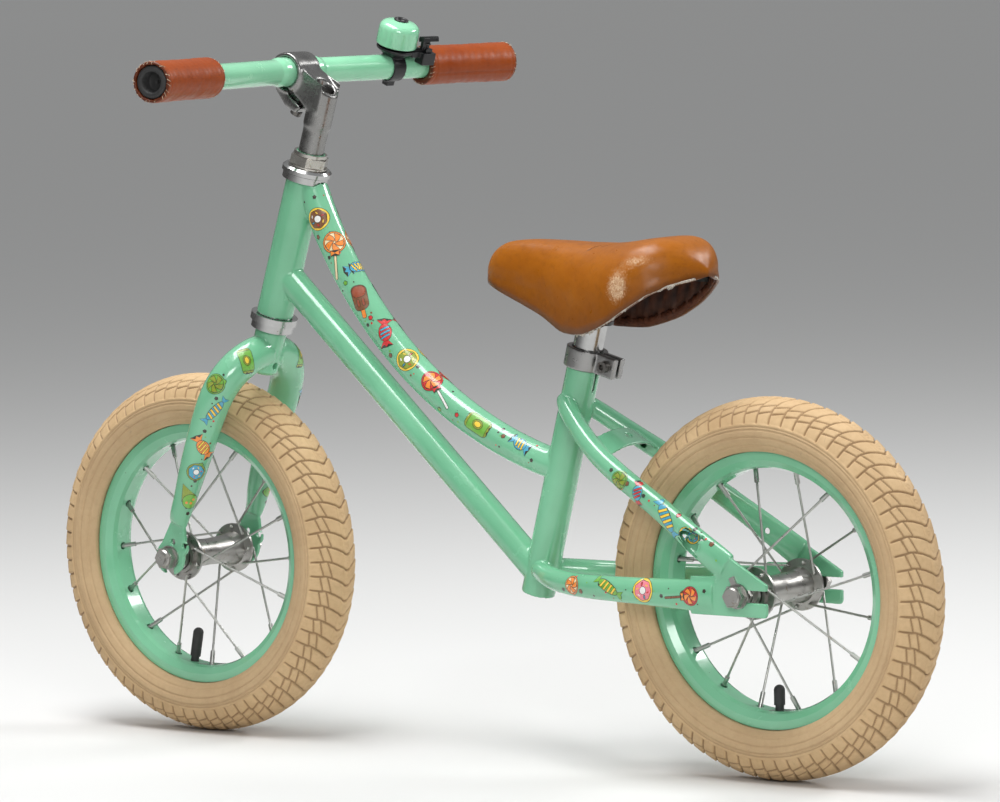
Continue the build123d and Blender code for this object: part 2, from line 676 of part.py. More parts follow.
def bell_base():
    """A strap round the bar, a funnel that carries the dome's pillar, and a boss with the lever's pin."""
    px, py = LEVER_PIVOT
    top = BELL_BASE + 3
    rim, foot = BELL_R - 1.2, BELL_BASE - 5
    base = turned_z((0, top), (rim, top), (rim, BELL_BASE + 1), (9, foot), (0, foot))
    base += Cylinder(STRAP_R, 13.5, rotation=(90, 0, 0)) + Pos(0, 0, -STRAP_R - 1) * Box(7, 9, 6)
    base += Pos(px, py, top - 5.5) * Box(11, 14, 11) + Pos(px * 0.6, py * 0.6, top - 2.5) * Box(14, 14, 5)
    base -= Cylinder(BAR_R, 60, rotation=(90, 0, 0))
    base += rod((px, py, top - 2), (px, py, top + 8), 1.6)
    base += rod((0, 0, top - 1), (0, 0, BELL_TOP - 1.4), 3.0)
    base -= rod((0, 0, BELL_TOP - 17), (0, 0, BELL_TOP), 2.2)
    return bell_frame() * base


def bell_dome():
    """A pressed cup with a flat top, open underneath."""
    low = BELL_BASE + 5.2
    skin = 1.4
    outer = [(BELL_R, low), (BELL_R, BELL_TOP - 5), (BELL_R - skin, BELL_TOP - 1.8), (BELL_R - 4.5, BELL_TOP)]
    inner = [(BELL_R - 5, BELL_TOP - skin), (BELL_R - skin, BELL_TOP - 5), (BELL_R - skin, low)]
    return bell_frame() * turned_z(*outer, (3.1, BELL_TOP), (3.1, BELL_TOP - skin), *inner)


def bell_screw():
    head = Pos(0, 0, BELL_TOP + 0.8) * Cylinder(5.4, 1.6) - Pos(0, 0, BELL_TOP + 1.4) * Box(8, 1.2, 1.2)
    return bell_frame() * (head + Pos(0, 0, BELL_TOP - 8.5) * Cylinder(2.2, 17))


def bell_lever():
    """A ribbed thumb plate beside the dome and a hammer under it, turning on the base's pin."""
    px, py = LEVER_PIVOT
    low = BELL_BASE + 3.3
    dx, dy = HAMMER
    lever = rod((px, py, low), (px, py, low + 3), 4.6) + Pos(px, py, low + 7) * Box(6, 16, 9)
    for step in range(7):
        lever -= Pos(px, py - 6.9 + 2.3 * step, low + 11.4) * Box(8, 0.9, 1.2)
    lever += Pos(px + dx / 2, py + dy / 2, low + 0.8) * Rot(0, 0, degrees(atan2(dy, dx))) * Box(14, 3, 1.6)
    lever += rod((px + dx, py + dy, low), (px + dx, py + dy, low + 9), 2.0)
    lever -= rod((px, py, low - 5), (px, py, low + 5.5), 1.66)
    return bell_frame() * (lever - rod((px, py, low + 5), (px, py, low + 9), 3.2))


def bell_spring():
    """A ring of wire round the lever's pin, inside the thumb plate."""
    px, py = LEVER_PIVOT
    return bell_frame() * Pos(px, py, BELL_BASE + 10.2) * Torus(2.3, 0.45)


# ---- saddle ----
def saddle_section(station, inset):
    """One cross-section of the saddle: a crowned top falling into flanks, closed along its lower edge."""
    x, wide, top, low = station
    half = wide - inset
    crown = top - inset
    drop = crown - low
    foot = low - 9 if inset else low
    flank = [(half, foot), (half * 0.985, low + drop * 0.35), (half * 0.82, low + drop * 0.78)]
    points = [(x, -y, z) for y, z in flank] + [(x, 0, crown)] + [(x, y, z) for y, z in reversed(flank)]
    return make_face([Spline(*points), Line(points[-1], points[0])])


def saddle_hollow(inset):
    """The room inside the saddle, open at the bottom."""
    return loft([saddle_section(station, inset) for station in SADDLE_FORM[1:-1]])


def saddle_cover():
    outer = loft([saddle_section(station, 0) for station in SADDLE_FORM])
    return largest(outer - saddle_hollow(6))


def saddle_shell():
    """A moulded dish inside the cover."""
    shell = saddle_hollow(7) - saddle_hollow(10)
    return largest(shell & Pos(-127, 0, 450) * Box(166, 200, 96))


def seat_post():
    return SEAT * tube_z(SEAT_POST_R, SEAT_POST_R - 1.8, SEAT_TUBE_LENGTH - 95, SEAT_TUBE_LENGTH + 57)


def saddle_clamp():
    """A moulded block that joins the post's top to the underside of the shell."""
    foot = SEAT_TUBE_LENGTH + 25
    block = SEAT * Pos(0, 0, foot) * Cylinder(17, 100, align=(Align.CENTER, Align.CENTER, Align.MIN))
    block += Pos(-134, 0, 412) * Box(62, 34, 40)
    block -= SEAT * tube_z(SEAT_POST_R, 0.01, foot - 20, SEAT_TUBE_LENGTH + 57)
    upper = block & saddle_hollow(10)
    lower = block & Pos(-130, 0, 340) * Box(200, 200, 120)
    return largest(upper + lower)


def build_wheel(end, plate_y, turn, valve_turn, tab):
    """One wheel with its axle. The wheel stands turned by turn, so that its valve is at the bottom."""

    def place(*shapes):
        return [Pos(WHEELS[end], 0, TYRE_R) * Rot(0, turn, 0) * shape for shape in shapes]

    def fixed(*shapes):
        return [Pos(WHEELS[end], 0, TYRE_R) * shape for shape in shapes]

    made, nuts = spokes()
    save(f"{end}_tyre", *fixed(tyre()))
    save(f"{end}_inner_tube", *fixed(inner_tube()))
    save(f"{end}_rim", *place(rim(valve_turn)))
    save(f"{end}_spokes", *place(*made))
    save(f"{end}_nipples", *place(*nuts))
    save(f"{end}_hub", *place(hub()))
    save(f"{end}_hub_balls", *place(*hub_balls()))
    save(f"{end}_valve", *place(Rot(0, valve_turn, 0) * valve(VALVE_TIP[end])))
    save(f"{end}_axle", *fixed(axle()))
    save(f"{end}_cones", *fixed(*cones(plate_y)))
    save(f"{end}_axle_nuts", *fixed(*axle_nuts(plate_y), *washers(plate_y, tab)))


os.makedirs("parts", exist_ok=True)

save("head_tube", head_tube())
save("seat_tube", seat_tube())
save("top_tube", top_tube())
save("down_tube", down_tube())
for side, part in zip(("left", "right"), both_sides(seat_stay())):
    save(f"seat_stay_{side}", part)
for side, part in zip(("left", "right"), both_sides(chain_stay())):
    save(f"chain_stay_{side}", part)
for side, part in zip(("left", "right"), both_sides(rear_plate())):
    save(f"rear_dropout_{side}", part)
save("stay_bridge", stay_bridge())
save("headset_cups", *headset_cups())
save("seat_clamp", seat_clamp())
save("seat_clamp_bolt", seat_clamp_bolt())

save("steerer", steerer())
for side, part in zip(("left", "right"), both_sides(fork_leg())):
    save(f"fork_leg_{side}", part)
for side, part in zip(("left", "right"), both_sides(front_plate())):
    save(f"front_dropout_{side}", part)
save("headset_races", crown_race(), headset_race())
save("headset_nuts", *headset_nuts())
save("headset_balls", *headset_balls())

save("stem", stem())
save("stem_bolts", stem_bolt(), stem_clamp_bolt())
save("stem_wedge", stem_wedge())

save("handlebar", handlebar())
save("grip_left", grip(1))
save("grip_right", grip(-1))
save("bar_plugs", bar_plug(1), bar_plug(-1))
save("bell_base", bell_base())
save("bell_dome", bell_dome())
save("bell_screw", bell_screw())
save("bell_lever", bell_lever())
save("bell_spring", bell_spring())

save("saddle_cover", saddle_cover())
save("saddle_shell", saddle_shell())
save("saddle_clamp", saddle_clamp())
save("seat_post", seat_post())

half_space = 180 / SPOKE_COUNT
build_wheel("front", FRONT_PLATE_Y, turn=0, valve_turn=-half_space, tab=False)
build_wheel("rear", REAR_PLATE_Y, turn=-half_space, valve_turn=half_space, tab=True)
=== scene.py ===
import math
import random

import bmesh
import bpy
import numpy as np
from mathutils import Matrix, Vector
from mathutils.bvhtree import BVHTree


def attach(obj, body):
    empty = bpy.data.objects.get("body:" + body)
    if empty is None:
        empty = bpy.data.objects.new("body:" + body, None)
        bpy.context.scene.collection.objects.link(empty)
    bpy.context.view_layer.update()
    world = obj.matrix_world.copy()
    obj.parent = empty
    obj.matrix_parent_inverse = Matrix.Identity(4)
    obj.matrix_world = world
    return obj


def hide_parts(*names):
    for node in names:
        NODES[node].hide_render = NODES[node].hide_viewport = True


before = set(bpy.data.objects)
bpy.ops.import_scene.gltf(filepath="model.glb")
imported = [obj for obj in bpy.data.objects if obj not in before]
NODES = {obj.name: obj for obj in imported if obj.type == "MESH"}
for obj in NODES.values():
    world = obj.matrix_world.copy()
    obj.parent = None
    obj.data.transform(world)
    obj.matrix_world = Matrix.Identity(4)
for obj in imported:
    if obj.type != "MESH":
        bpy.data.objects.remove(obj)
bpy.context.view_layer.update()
random.seed(7)
MM = 0.001
TAU = 2 * math.pi

# ---- sizes of the bike that the visual pieces follow, in millimetres ----
WHEEL_X = {"front": 303.3, "rear": -303.3}
TYRE_R = 157.0
TYRE_HALF_WIDTH = 28.0
TYRE_HALF_HEIGHT = 25.5
TREAD_ROWS = 72
STEER_FOOT = (288.39, 157.0)
STEER_LEAN = math.radians(17.8)
TOP_ARC_CENTRE = (-170.7, 606.3)
TOP_ARC_R = 368.4
BAR_CENTRE = (190.6, 577.2)
BAR_STRAIGHT = 29.0
BAR_SWEEP = math.radians(11.6)
BAR_HALF = 236.0
GRIP_INNER = 143.5
GRIP_R = 17.6

# The saddle from nose to tail: (x, half width, height of the top, height of the lower rim).
SADDLE = [
    (-14.5, 0.6, 409, 404),
    (-17, 7, 414, 402),
    (-24, 15, 427, 400.5),
    (-40, 21, 436, 395),
    (-64, 25, 437.6, 386.5),
    (-92, 31, 437, 376.5),
    (-118, 40, 435.8, 364),
    (-145, 49, 435.4, 363),
    (-172, 57, 438, 371.5),
    (-195, 57.5, 441.5, 385),
    (-212, 50, 443, 397),
    (-226, 37, 438.5, 404),
    (-236.5, 18, 427, 408),
    (-240.5, 0.6, 416, 410),
]


# ---- meshes ----
def add_mesh(name, verts, faces, materials, face_slots=None, smooth=True):
    """A mesh object from points in millimetres."""
    mesh = bpy.data.meshes.new(name)
    mesh.from_pydata([tuple(v) for v in np.asarray(verts, float) * MM], [], [tuple(f) for f in faces])
    for material in materials:
        mesh.materials.append(material)
    if face_slots is not None:
        mesh.polygons.foreach_set("material_index", np.asarray(face_slots, np.int32))
    mesh.polygons.foreach_set("use_smooth", np.full(len(mesh.polygons), smooth, bool))
    mesh.update()
    piece = bpy.data.objects.new(name, mesh)
    bpy.context.scene.collection.objects.link(piece)
    return piece


def grid_faces(rows, columns, wrap_rows=False, wrap_columns=False, start=0, flip=False):
    """The quads of a grid of points stored row by row."""
    i = np.arange(rows if wrap_rows else rows - 1)
    j = np.arange(columns if wrap_columns else columns - 1)
    a, b = np.meshgrid(i, j, indexing="ij")
    a, b = a.ravel(), b.ravel()
    a1, b1 = (a + 1) % rows, (b + 1) % columns
    quads = np.stack([a * columns + b, a * columns + b1, a1 * columns + b1, a1 * columns + b], 1) + start
    return quads[:, ::-1] if flip else quads


def strip_ends(rows, columns, start=0):
    """The two end caps of a closed strip whose rings of points are stored one after another."""
    last = start + columns * (rows - 1)
    return [tuple(range(start, start + columns)), tuple(range(last, last + columns))[::-1]]


def strip_faces(rows, columns, flip=False):
    """A closed strip's quads and its two end caps."""
    ends = strip_ends(rows, columns)
    quads = list(map(tuple, grid_faces(rows, columns, wrap_columns=True, flip=flip)))
    return quads + (ends if flip else [end[::-1] for end in ends])


def join(verts, faces, more, more_faces):
    """Adds one closed solid's points and faces to the lists of a growing mesh."""
    faces += [tuple(i + len(verts) for i in face) for face in more_faces]
    verts += more


def set_attribute(piece, name, values):
    """A grey value at each point, which the piece's material reads."""
    attribute = piece.data.attributes.new(name, "FLOAT", "POINT")
    attribute.data.foreach_set("value", np.asarray(values, np.float32))


def smoothstep(low, high, x):
    t = np.clip((np.asarray(x, float) - low) / (high - low), 0, 1)
    return t * t * (3 - 2 * t)


def ripple(x, y, z, scale, seed=0):
    """A cheap smooth noise between about -1 and 1, for wrinkles and wobble."""
    total = np.zeros(np.broadcast(x, y, z).shape)
    source = np.random.default_rng(seed)
    for octave in range(4):
        direction = source.normal(size=(3, 3))
        phase = source.uniform(0, TAU, 3)
        k = scale * 1.7**octave
        for d, p in zip(direction, phase):
            total += np.sin(k * (d[0] * x + d[1] * y + d[2] * z) + p) / (3 * 1.5**octave)
    return total / 1.6


def ride(piece, body, replaces=()):
    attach(piece, body)
    if replaces:
        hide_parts(*replaces)
    return piece


# ---- materials ----
class Finish:
    """Builds one procedural material, its textures laid out in the object's own space, in metres."""

    def __init__(self, name, roughness=0.5, metallic=0.0, coat=0.0, specular=0.5, sheen=0.0):
        self.material = bpy.data.materials.new(name)
        self.material.use_nodes = True
        self.tree = self.material.node_tree
        self.shader = self.tree.nodes["Principled BSDF"]
        self.shader.inputs["Roughness"].default_value = roughness
        self.shader.inputs["Metallic"].default_value = metallic
        self.shader.inputs["Coat Weight"].default_value = coat
        self.shader.inputs["Coat Roughness"].default_value = 0.06
        self.shader.inputs["Specular IOR Level"].default_value = specular
        self.shader.inputs["Sheen Weight"].default_value = sheen
        self.place = self.tree.nodes.new("ShaderNodeTexCoord").outputs["Object"]
        self.normal = None

    def node(self, kind, **inputs):
        """A new node, its plain inputs set: an underscore in a name stands for a space."""
        node = self.tree.nodes.new("ShaderNode" + kind)
        for name, value in inputs.items():
            node.inputs[name.replace("_", " ")].default_value = value
        return node

    def link(self, source, target):
        self.tree.links.new(source, target)

    def stretch(self, x, y, z):
        node = self.node("Mapping", Scale=(x, y, z))
        self.link(self.place, node.inputs["Vector"])
        return node.outputs["Vector"]

    def noise(self, scale, detail=4.0, roughness=0.55, distortion=0.0, place=None):
        node = self.node("TexNoise", Scale=scale, Detail=detail, Roughness=roughness, Distortion=distortion)
        self.link(place or self.place, node.inputs["Vector"])
        return node.outputs["Fac"]

    def cells(self, scale, feature="F1"):
        node = self.node("TexVoronoi", Scale=scale)
        node.feature = feature
        self.link(self.place, node.inputs["Vector"])
        return node.outputs["Distance"]

    def attribute(self, name):
        node = self.node("Attribute")
        node.attribute_name = name
        return node.outputs["Fac"]

    def remap(self, value, low, high, to_low=0.0, to_high=1.0):
        node = self.node("MapRange", From_Min=low, From_Max=high, To_Min=to_low, To_Max=to_high)
        self.link(value, node.inputs["Value"])
        return node.outputs["Result"]

    def blotch(self, pattern, *levels):
        """Noise of some scale, detail, roughness and distortion, with its range remapped."""
        return self.remap(self.noise(*pattern), *levels)

    def math(self, operation, a, b):
        node = self.node("Math")
        node.operation = operation
        for socket, value in zip(node.inputs, (a, b)):
            if isinstance(value, (int, float)):
                socket.default_value = value
            else:
                self.link(value, socket)
        return node.outputs["Value"]

    def mix(self, share, a, b):
        node = self.node("Mix")
        node.data_type = "RGBA"
        for name, value in (("Factor", share), ("A", a), ("B", b)):
            socket = [s for s in node.inputs if s.name == name and s.enabled][0]
            if isinstance(value, tuple):
                socket.default_value = (*value, 1.0)
            elif isinstance(value, float):
                socket.default_value = value
            else:
                self.link(value, socket)
        return [s for s in node.outputs if s.enabled][0]

    def colour(self, source):
        self.link(source, self.shader.inputs["Base Color"])

    def roughness(self, source):
        self.link(source, self.shader.inputs["Roughness"])

    def bump(self, height, depth, strength=1.0):
        """Adds fine relief, depth metres deep."""
        node = self.node("Bump", Strength=strength, Distance=depth)
        self.link(height, node.inputs["Height"])
        if self.normal is not None:
            self.link(self.normal, node.inputs["Normal"])
        self.normal = node.outputs["Normal"]
        self.link(self.normal, self.shader.inputs["Normal"])


def paint(name, colour, dark, light):
    """Glossy paint: a faint mottle, dust specks, small chips and an orange-peel surface."""
    finish = Finish(name, roughness=0.2, coat=0.7, specular=0.5)
    mottle = finish.blotch((9, 3), 0.35, 0.65)
    base = finish.mix(mottle, dark, light)
    base = finish.mix(finish.blotch((55, 5), 0.3, 0.75, 0.0, 0.35), base, colour)
    dust = finish.blotch((700, 3), 0.70, 0.76)
    base = finish.mix(finish.math("MULTIPLY", dust, 0.35), base, tuple(0.55 * c for c in dark))
    chips = finish.remap(finish.cells(95), 0.055, 0.045)
    chips = finish.math("MULTIPLY", chips, finish.blotch((30, 4), 0.60, 0.66))
    base = finish.mix(chips, base, (0.09, 0.10, 0.09))
    finish.colour(base)
    smudge = finish.blotch((38, 6, 0.65), 0.35, 0.75, 0.13, 0.34)
    finish.roughness(smudge)
    finish.bump(finish.noise(900, 3), 0.00002, 0.35)
    finish.bump(chips, -0.00012, 0.8)
    return finish.material


def metal(name, colour, roughness, rust=0.0, brushed=0.0, pits=0.2, grime=(0.10, 0.08, 0.06)):
    """Plated or bare metal with stains, rust where the amount says, and fine scratches."""
    finish = Finish(name, roughness=roughness, metallic=1.0)
    tint = finish.blotch((60, 6, 0.6), 0.3, 0.7)
    base = finish.mix(tint, tuple(0.78 * c for c in colour), colour)
    stains = finish.blotch((160, 8, 0.7), 0.66 - 0.16 * rust, 0.74 - 0.16 * rust)
    base = finish.mix(finish.math("MULTIPLY", stains, min(0.25, 2 * rust) + rust), base, grime)
    finish.colour(base)
    rough = finish.blotch((120, 8, 0.7), 0.3, 0.75, roughness * 0.7, roughness * 1.7)
    finish.roughness(finish.math("ADD", rough, finish.math("MULTIPLY", stains, 0.35 * rust + 0.1)))
    if brushed:
        finish.bump(finish.noise(160, 4, 0.6, place=finish.stretch(1, 12, 1)), 0.00006, brushed)
    finish.bump(finish.noise(1500, 4), 0.00003, pits)
    return finish.material


def plastic(name, colour, roughness=0.45):
    """Moulded plastic with a fine texture, dusty in places."""
    finish = Finish(name, roughness=roughness)
    dusty = finish.blotch((45, 6, 0.6), 0.45, 0.8, 0.0, 0.3)
    finish.colour(finish.mix(dusty, colour, tuple(min(1.0, 2.6 * c + 0.015) for c in colour)))
    finish.roughness(finish.blotch((80, 5), 0.3, 0.7, roughness * 0.8, roughness * 1.3))
    finish.bump(finish.noise(1700, 3), 0.00006, 0.5)
    return finish.material


def tyre_rubber():
    """Tan rubber: dirt with painted shade in the grooves, darker greyer sidewalls, scuffs and tiny pores."""
    finish = Finish("tyre_rubber", roughness=0.72, specular=0.35)
    mottle = finish.blotch((22, 6, 0.62), 0.3, 0.7)
    base = finish.mix(mottle, (0.52, 0.350, 0.185), (0.64, 0.450, 0.250))
    base = finish.mix(finish.blotch((240, 5), 0.45, 0.8, 0.0, 0.4), base, (0.44, 0.29, 0.150))
    base = finish.mix(finish.math("MULTIPLY", finish.attribute("wall"), 0.4), base, (0.42, 0.300, 0.180))
    # Dirt and painted shade in the grooves, from the groove mask.
    base = finish.mix(finish.math("MULTIPLY", finish.attribute("groove"), 0.6), base, (0.17, 0.095, 0.042))
    scuff = finish.blotch((90, 8, 0.75, 0.6), 0.63, 0.70, 0.0, 0.4)
    finish.colour(finish.mix(scuff, base, (0.25, 0.18, 0.12)))
    finish.roughness(finish.blotch((60, 5), 0.3, 0.7, 0.58, 0.86))
    finish.bump(finish.noise(420, 6, 0.6), 0.0002, 0.25)
    finish.bump(finish.cells(1300), 0.00005, 0.4)
    return finish.material


def leather(name, deep, mid, light, wear_and_painted_highlight=(0.86, 0.70, 0.48), gloss=0.33):
    """A leather look: grain cells, pores, painted shade in creases and on low parts along with dark edges
    where the piece's shade mask says, and light flecks of wear and painted highlight where the piece says.
    """
    finish = Finish(name, roughness=gloss, coat=0.07, specular=0.27)
    finish.shader.inputs["Coat Roughness"].default_value = 0.28
    cloud = finish.blotch((26, 6, 0.6), 0.3, 0.7)
    base = finish.mix(cloud, mid, light)
    base = finish.mix(finish.blotch((210, 6, 0.68), 0.5, 0.8, 0.0, 0.3), base, deep)
    # Painted shade from the piece's mask: the saddle's creases, lower rim and lower flanks, the grips' seam
    # groove; also the grips' dark ends.
    base = finish.mix(finish.attribute("painted_shade_and_dark_edges"), base, deep)
    # Light flecks from the piece's mask: scratches, with a painted highlight on the saddle's left rear
    # shoulder.
    wear_and_highlight_share = finish.math("MULTIPLY", finish.attribute("wear_and_painted_highlight"), 0.205)
    flecks = finish.math("ADD", finish.noise(950, 9, 0.9, 0.6, finish.stretch(1.6, 1, 0.8)), wear_and_highlight_share)
    patch = finish.remap(flecks, 0.695, 0.735, 0.0, 0.85)
    base = finish.mix(patch, base, wear_and_painted_highlight)
    finish.colour(base)
    rough = finish.blotch((110, 5), 0.3, 0.7, gloss * 0.8, gloss * 1.35)
    finish.roughness(finish.math("ADD", rough, finish.math("MULTIPLY", finish.attribute("wear_and_painted_highlight"), 0.12)))
    finish.bump(finish.cells(820, "DISTANCE_TO_EDGE"), 0.00016, 0.4)
    finish.bump(finish.noise(2600, 3), 0.00004, 0.4)
    finish.bump(finish.noise(95, 4), 0.0006, 0.25)
    return finish.material


def cloth_like(name, dark, light, scale=900):
    """A matt fibrous material for torn backing and hems."""
    finish = Finish(name, roughness=0.9, specular=0.2, sheen=0.2)
    finish.colour(finish.mix(finish.blotch((scale, 6, 0.7), 0.35, 0.65), dark, light))
    finish.bump(finish.noise(scale * 1.5, 5, 0.7), 0.0002, 0.7)
    return finish.material


def hem_lining(name, dark, light):
    """The cover's inside: dark stained backing, with painted shade darkening its folds."""
    finish = Finish(name, roughness=0.62, specular=0.3)
    base = finish.mix(finish.blotch((130, 6, 0.6), 0.35, 0.65), dark, light)
    # Painted shade in the pleats' folds.
    folds = finish.math("MULTIPLY", finish.attribute("fold"), 0.85)
    base = finish.mix(folds, base, tuple(0.15 * c for c in dark))
    finish.colour(base)
    finish.roughness(finish.blotch((90, 5), 0.3, 0.7, 0.5, 0.75))
    finish.bump(finish.noise(900, 5, 0.7), 0.00015, 0.5)
    return finish.material


def print_ink(name, colour):
    """Printed film: even ink with a little wear and a soft gloss."""
    finish = Finish(name, roughness=0.3, coat=0.5)
    faded = tuple(min(1.0, 0.8 * c + 0.12) for c in colour)
    finish.colour(finish.mix(finish.blotch((300, 6, 0.7), 0.45, 0.8, 0.0, 0.6), colour, faded))
    finish.roughness(finish.blotch((120, 4), 0.3, 0.7, 0.2, 0.42))
    finish.bump(finish.noise(1100, 3), 0.00002, 0.3)
    return finish.material


# ---- tyres ----
def row_lag(angle):
    """How far back a tread row's groove lies at this angle across the tread, in millimetres."""
    places = [0, 4, 8, 11.5, 14, 25, 37, 46, 54, 78]
    lags = [8.7, 8.2, 6.8, 5.4, 5.2, 2.6, 0.6, -0.4, 0, 0.4]
    return np.interp(angle, places, lags)


def tread_depth(angle, row, pitch):
    """Depth of the grooves in millimetres, for degrees across the tread and the place within a row."""
    aside = np.abs(angle)
    on_tread = 1 - smoothstep(75, 79, aside)
    across = np.minimum(row, 1 - row) * pitch
    slope = 0.75 * row * on_tread * smoothstep(4, 16, aside)
    depth = slope + (1.9 - slope) * (1 - smoothstep(0.55, 1.35, across)) * on_tread
    for start, lean in ((58, 8), (43, 10)):
        gap = np.abs(aside - (start - lean * row)) * TYRE_HALF_HEIGHT * math.pi / 180
        depth = np.maximum(depth, 1.6 * (1 - smoothstep(0.4, 1.15, gap)))
    chain = np.abs(aside - 11.5) * TYRE_HALF_WIDTH * math.pi / 180
    depth = np.maximum(depth, 0.75 * (1 - smoothstep(0.25, 0.85, chain)))
    dimple = np.hypot((row - 0.5) * pitch, aside * 0.49) - 2.0
    depth = np.maximum(depth, 0.55 * (1 - smoothstep(0.1, 0.7, np.abs(dimple))))
    for ring, cut in ((83, 1.0), (88.5, 0.8), (102, 0.8), (119, 0.7)):
        depth = np.maximum(depth, cut * (1 - smoothstep(0.7, 2.2, np.abs(aside - ring))))
    return depth


def tyre_mesh(material):
    """A pneumatic tyre with its tread cut in, its beads tucked into the rim and a closed inside."""
    wall_side = np.arange(-135, -80, 1.5)
    tread = np.arange(-80, 80.01, 1.35)
    fine = np.concatenate([wall_side, tread, np.arange(81.5, 135.1, 1.5)])
    steps = TREAD_ROWS * 20
    around = np.arange(steps) * TAU / steps
    beta, phi = np.meshgrid(around, fine, indexing="ij")
    pitch = TAU * TYRE_R / TREAD_ROWS
    row = (TREAD_ROWS * (beta - row_lag(np.abs(phi)) / TYRE_R) / TAU) % 1.0
    depth = tread_depth(phi, row, pitch)
    angle = np.radians(phi)
    centre = TYRE_R - TYRE_HALF_HEIGHT
    radius = centre + (TYRE_HALF_HEIGHT - depth) * np.cos(angle)
    across = (TYRE_HALF_WIDTH - depth) * np.sin(angle)
    bead = [(114.0, 17.4), (113.9, 13.5)]
    inner = [(centre + 21 * math.cos(t), 21.5 * math.sin(t)) for t in np.radians(np.arange(120, -121, -20))]
    closing = bead + inner + [(r, -y) for r, y in bead[::-1]]
    extra_r = np.array([r for r, y in closing])
    extra_y = np.array([y for r, y in closing])
    radius = np.hstack([radius, np.tile(extra_r, (len(around), 1))])
    across = np.hstack([across, np.tile(extra_y, (len(around), 1))])
    turn = np.hstack([beta, np.tile(around[:, None], (1, len(closing)))])
    points = np.stack([radius * np.cos(turn), across, radius * np.sin(turn)], -1).reshape(-1, 3)
    rows, columns = radius.shape
    faces = grid_faces(rows, columns, wrap_rows=True, wrap_columns=True)
    # The groove mask, for dirt and painted shade in the grooves.
    groove = np.hstack([np.clip((depth - 0.7) / 0.9, 0, 1), np.zeros((rows, len(closing)))])
    wall = np.hstack([smoothstep(76, 86, np.abs(phi)), np.ones((rows, len(closing)))])
    return points, faces, groove.ravel(), wall.ravel()


def nub_points(side, count):
    """Little moulding whiskers on a sidewall, as short cones."""
    points, faces = [], []
    for k in range(count):
        turn = TAU * (k + 0.5 * random.random()) / count
        angle = math.radians(random.choice((96, 99, 112)) * side)
        normal = np.array([math.cos(angle), math.sin(angle)])
        centre = TYRE_R - TYRE_HALF_HEIGHT
        base = np.array([centre + TYRE_HALF_HEIGHT * normal[0], TYRE_HALF_WIDTH * normal[1]]) - 0.3 * normal
        tip = base + normal * min(1.1, (TYRE_HALF_WIDTH - abs(base[1])) / max(abs(normal[1]), 0.3))
        ring = []
        for j in range(6):
            swing = TAU * j / 6
            r = base[0] + 0.35 * math.cos(swing)
            slip = 0.35 * math.sin(swing) / r
            ring.append((r * math.cos(turn + slip), base[1], r * math.sin(turn + slip)))
        start = len(points)
        points += ring + [(tip[0] * math.cos(turn), tip[1], tip[0] * math.sin(turn))]
        faces += [(start + j, start + (j + 1) % 6, start + 6) for j in range(6)]
        faces.append(tuple(start + j for j in range(5, -1, -1)))
    return points, faces


def make_tyres(material):
    points, faces, groove, wall = tyre_mesh(material)
    for end, x in WHEEL_X.items():
        place = np.array([x, 0, TYRE_R])
        piece = add_mesh(end + "_tyre_rubber", points + place, faces, [material])
        set_attribute(piece, "groove", groove)
        set_attribute(piece, "wall", wall)
        ride(piece, end + "_wheel", [end + "_tyre"])
        nubs, nub_faces = [], []
        for side in (-1, 1):
            join(nubs, nub_faces, *nub_points(side, 22))
        whiskers = add_mesh(end + "_tyre_whiskers", np.array(nubs) + place, nub_faces, [material])
        ride(whiskers, end + "_wheel")


# ---- saddle ----
def saddle_rows(count):
    """Smooth stations along the saddle, from the listed ones: arrays of x, half width, top and low."""
    table = np.array(SADDLE, float)
    along = np.concatenate([[0], np.cumsum(np.hypot(np.diff(table[:, 0]), 0.5 * np.diff(table[:, 1])))])
    fine = np.linspace(0, along[-1], 400)
    columns = np.stack([np.interp(fine, along, table[:, k]) for k in range(4)], 1)
    kernel = np.exp(-0.5 * (np.arange(-16, 17) / 6.0) ** 2)
    kernel /= kernel.sum()
    padded = np.pad(columns, ((16, 16), (0, 0)), mode="edge")
    soft = np.stack([np.convolve(padded[:, k], kernel, "valid") for k in range(4)], 1)
    blend = smoothstep(0, 14, fine) * (1 - smoothstep(along[-1] - 14, along[-1], fine))
    soft = columns + (soft - columns) * blend[:, None]
    pick = np.linspace(0, along[-1], count)
    return np.stack([np.interp(pick, fine, soft[:, k]) for k in range(4)], 1)


def saddle_point(station, a):
    """A point of the cover's outside, a being 0 on the crown and 90 degrees on the lower rim."""
    x, half, top, low = station
    side = np.sign(a)
    a = np.abs(a)
    y = side * half * np.sin(a) ** 0.573
    z = low + (top - low) * np.maximum(np.cos(a), 0) ** 0.717
    return np.array([np.full_like(y, x), y, z]).T


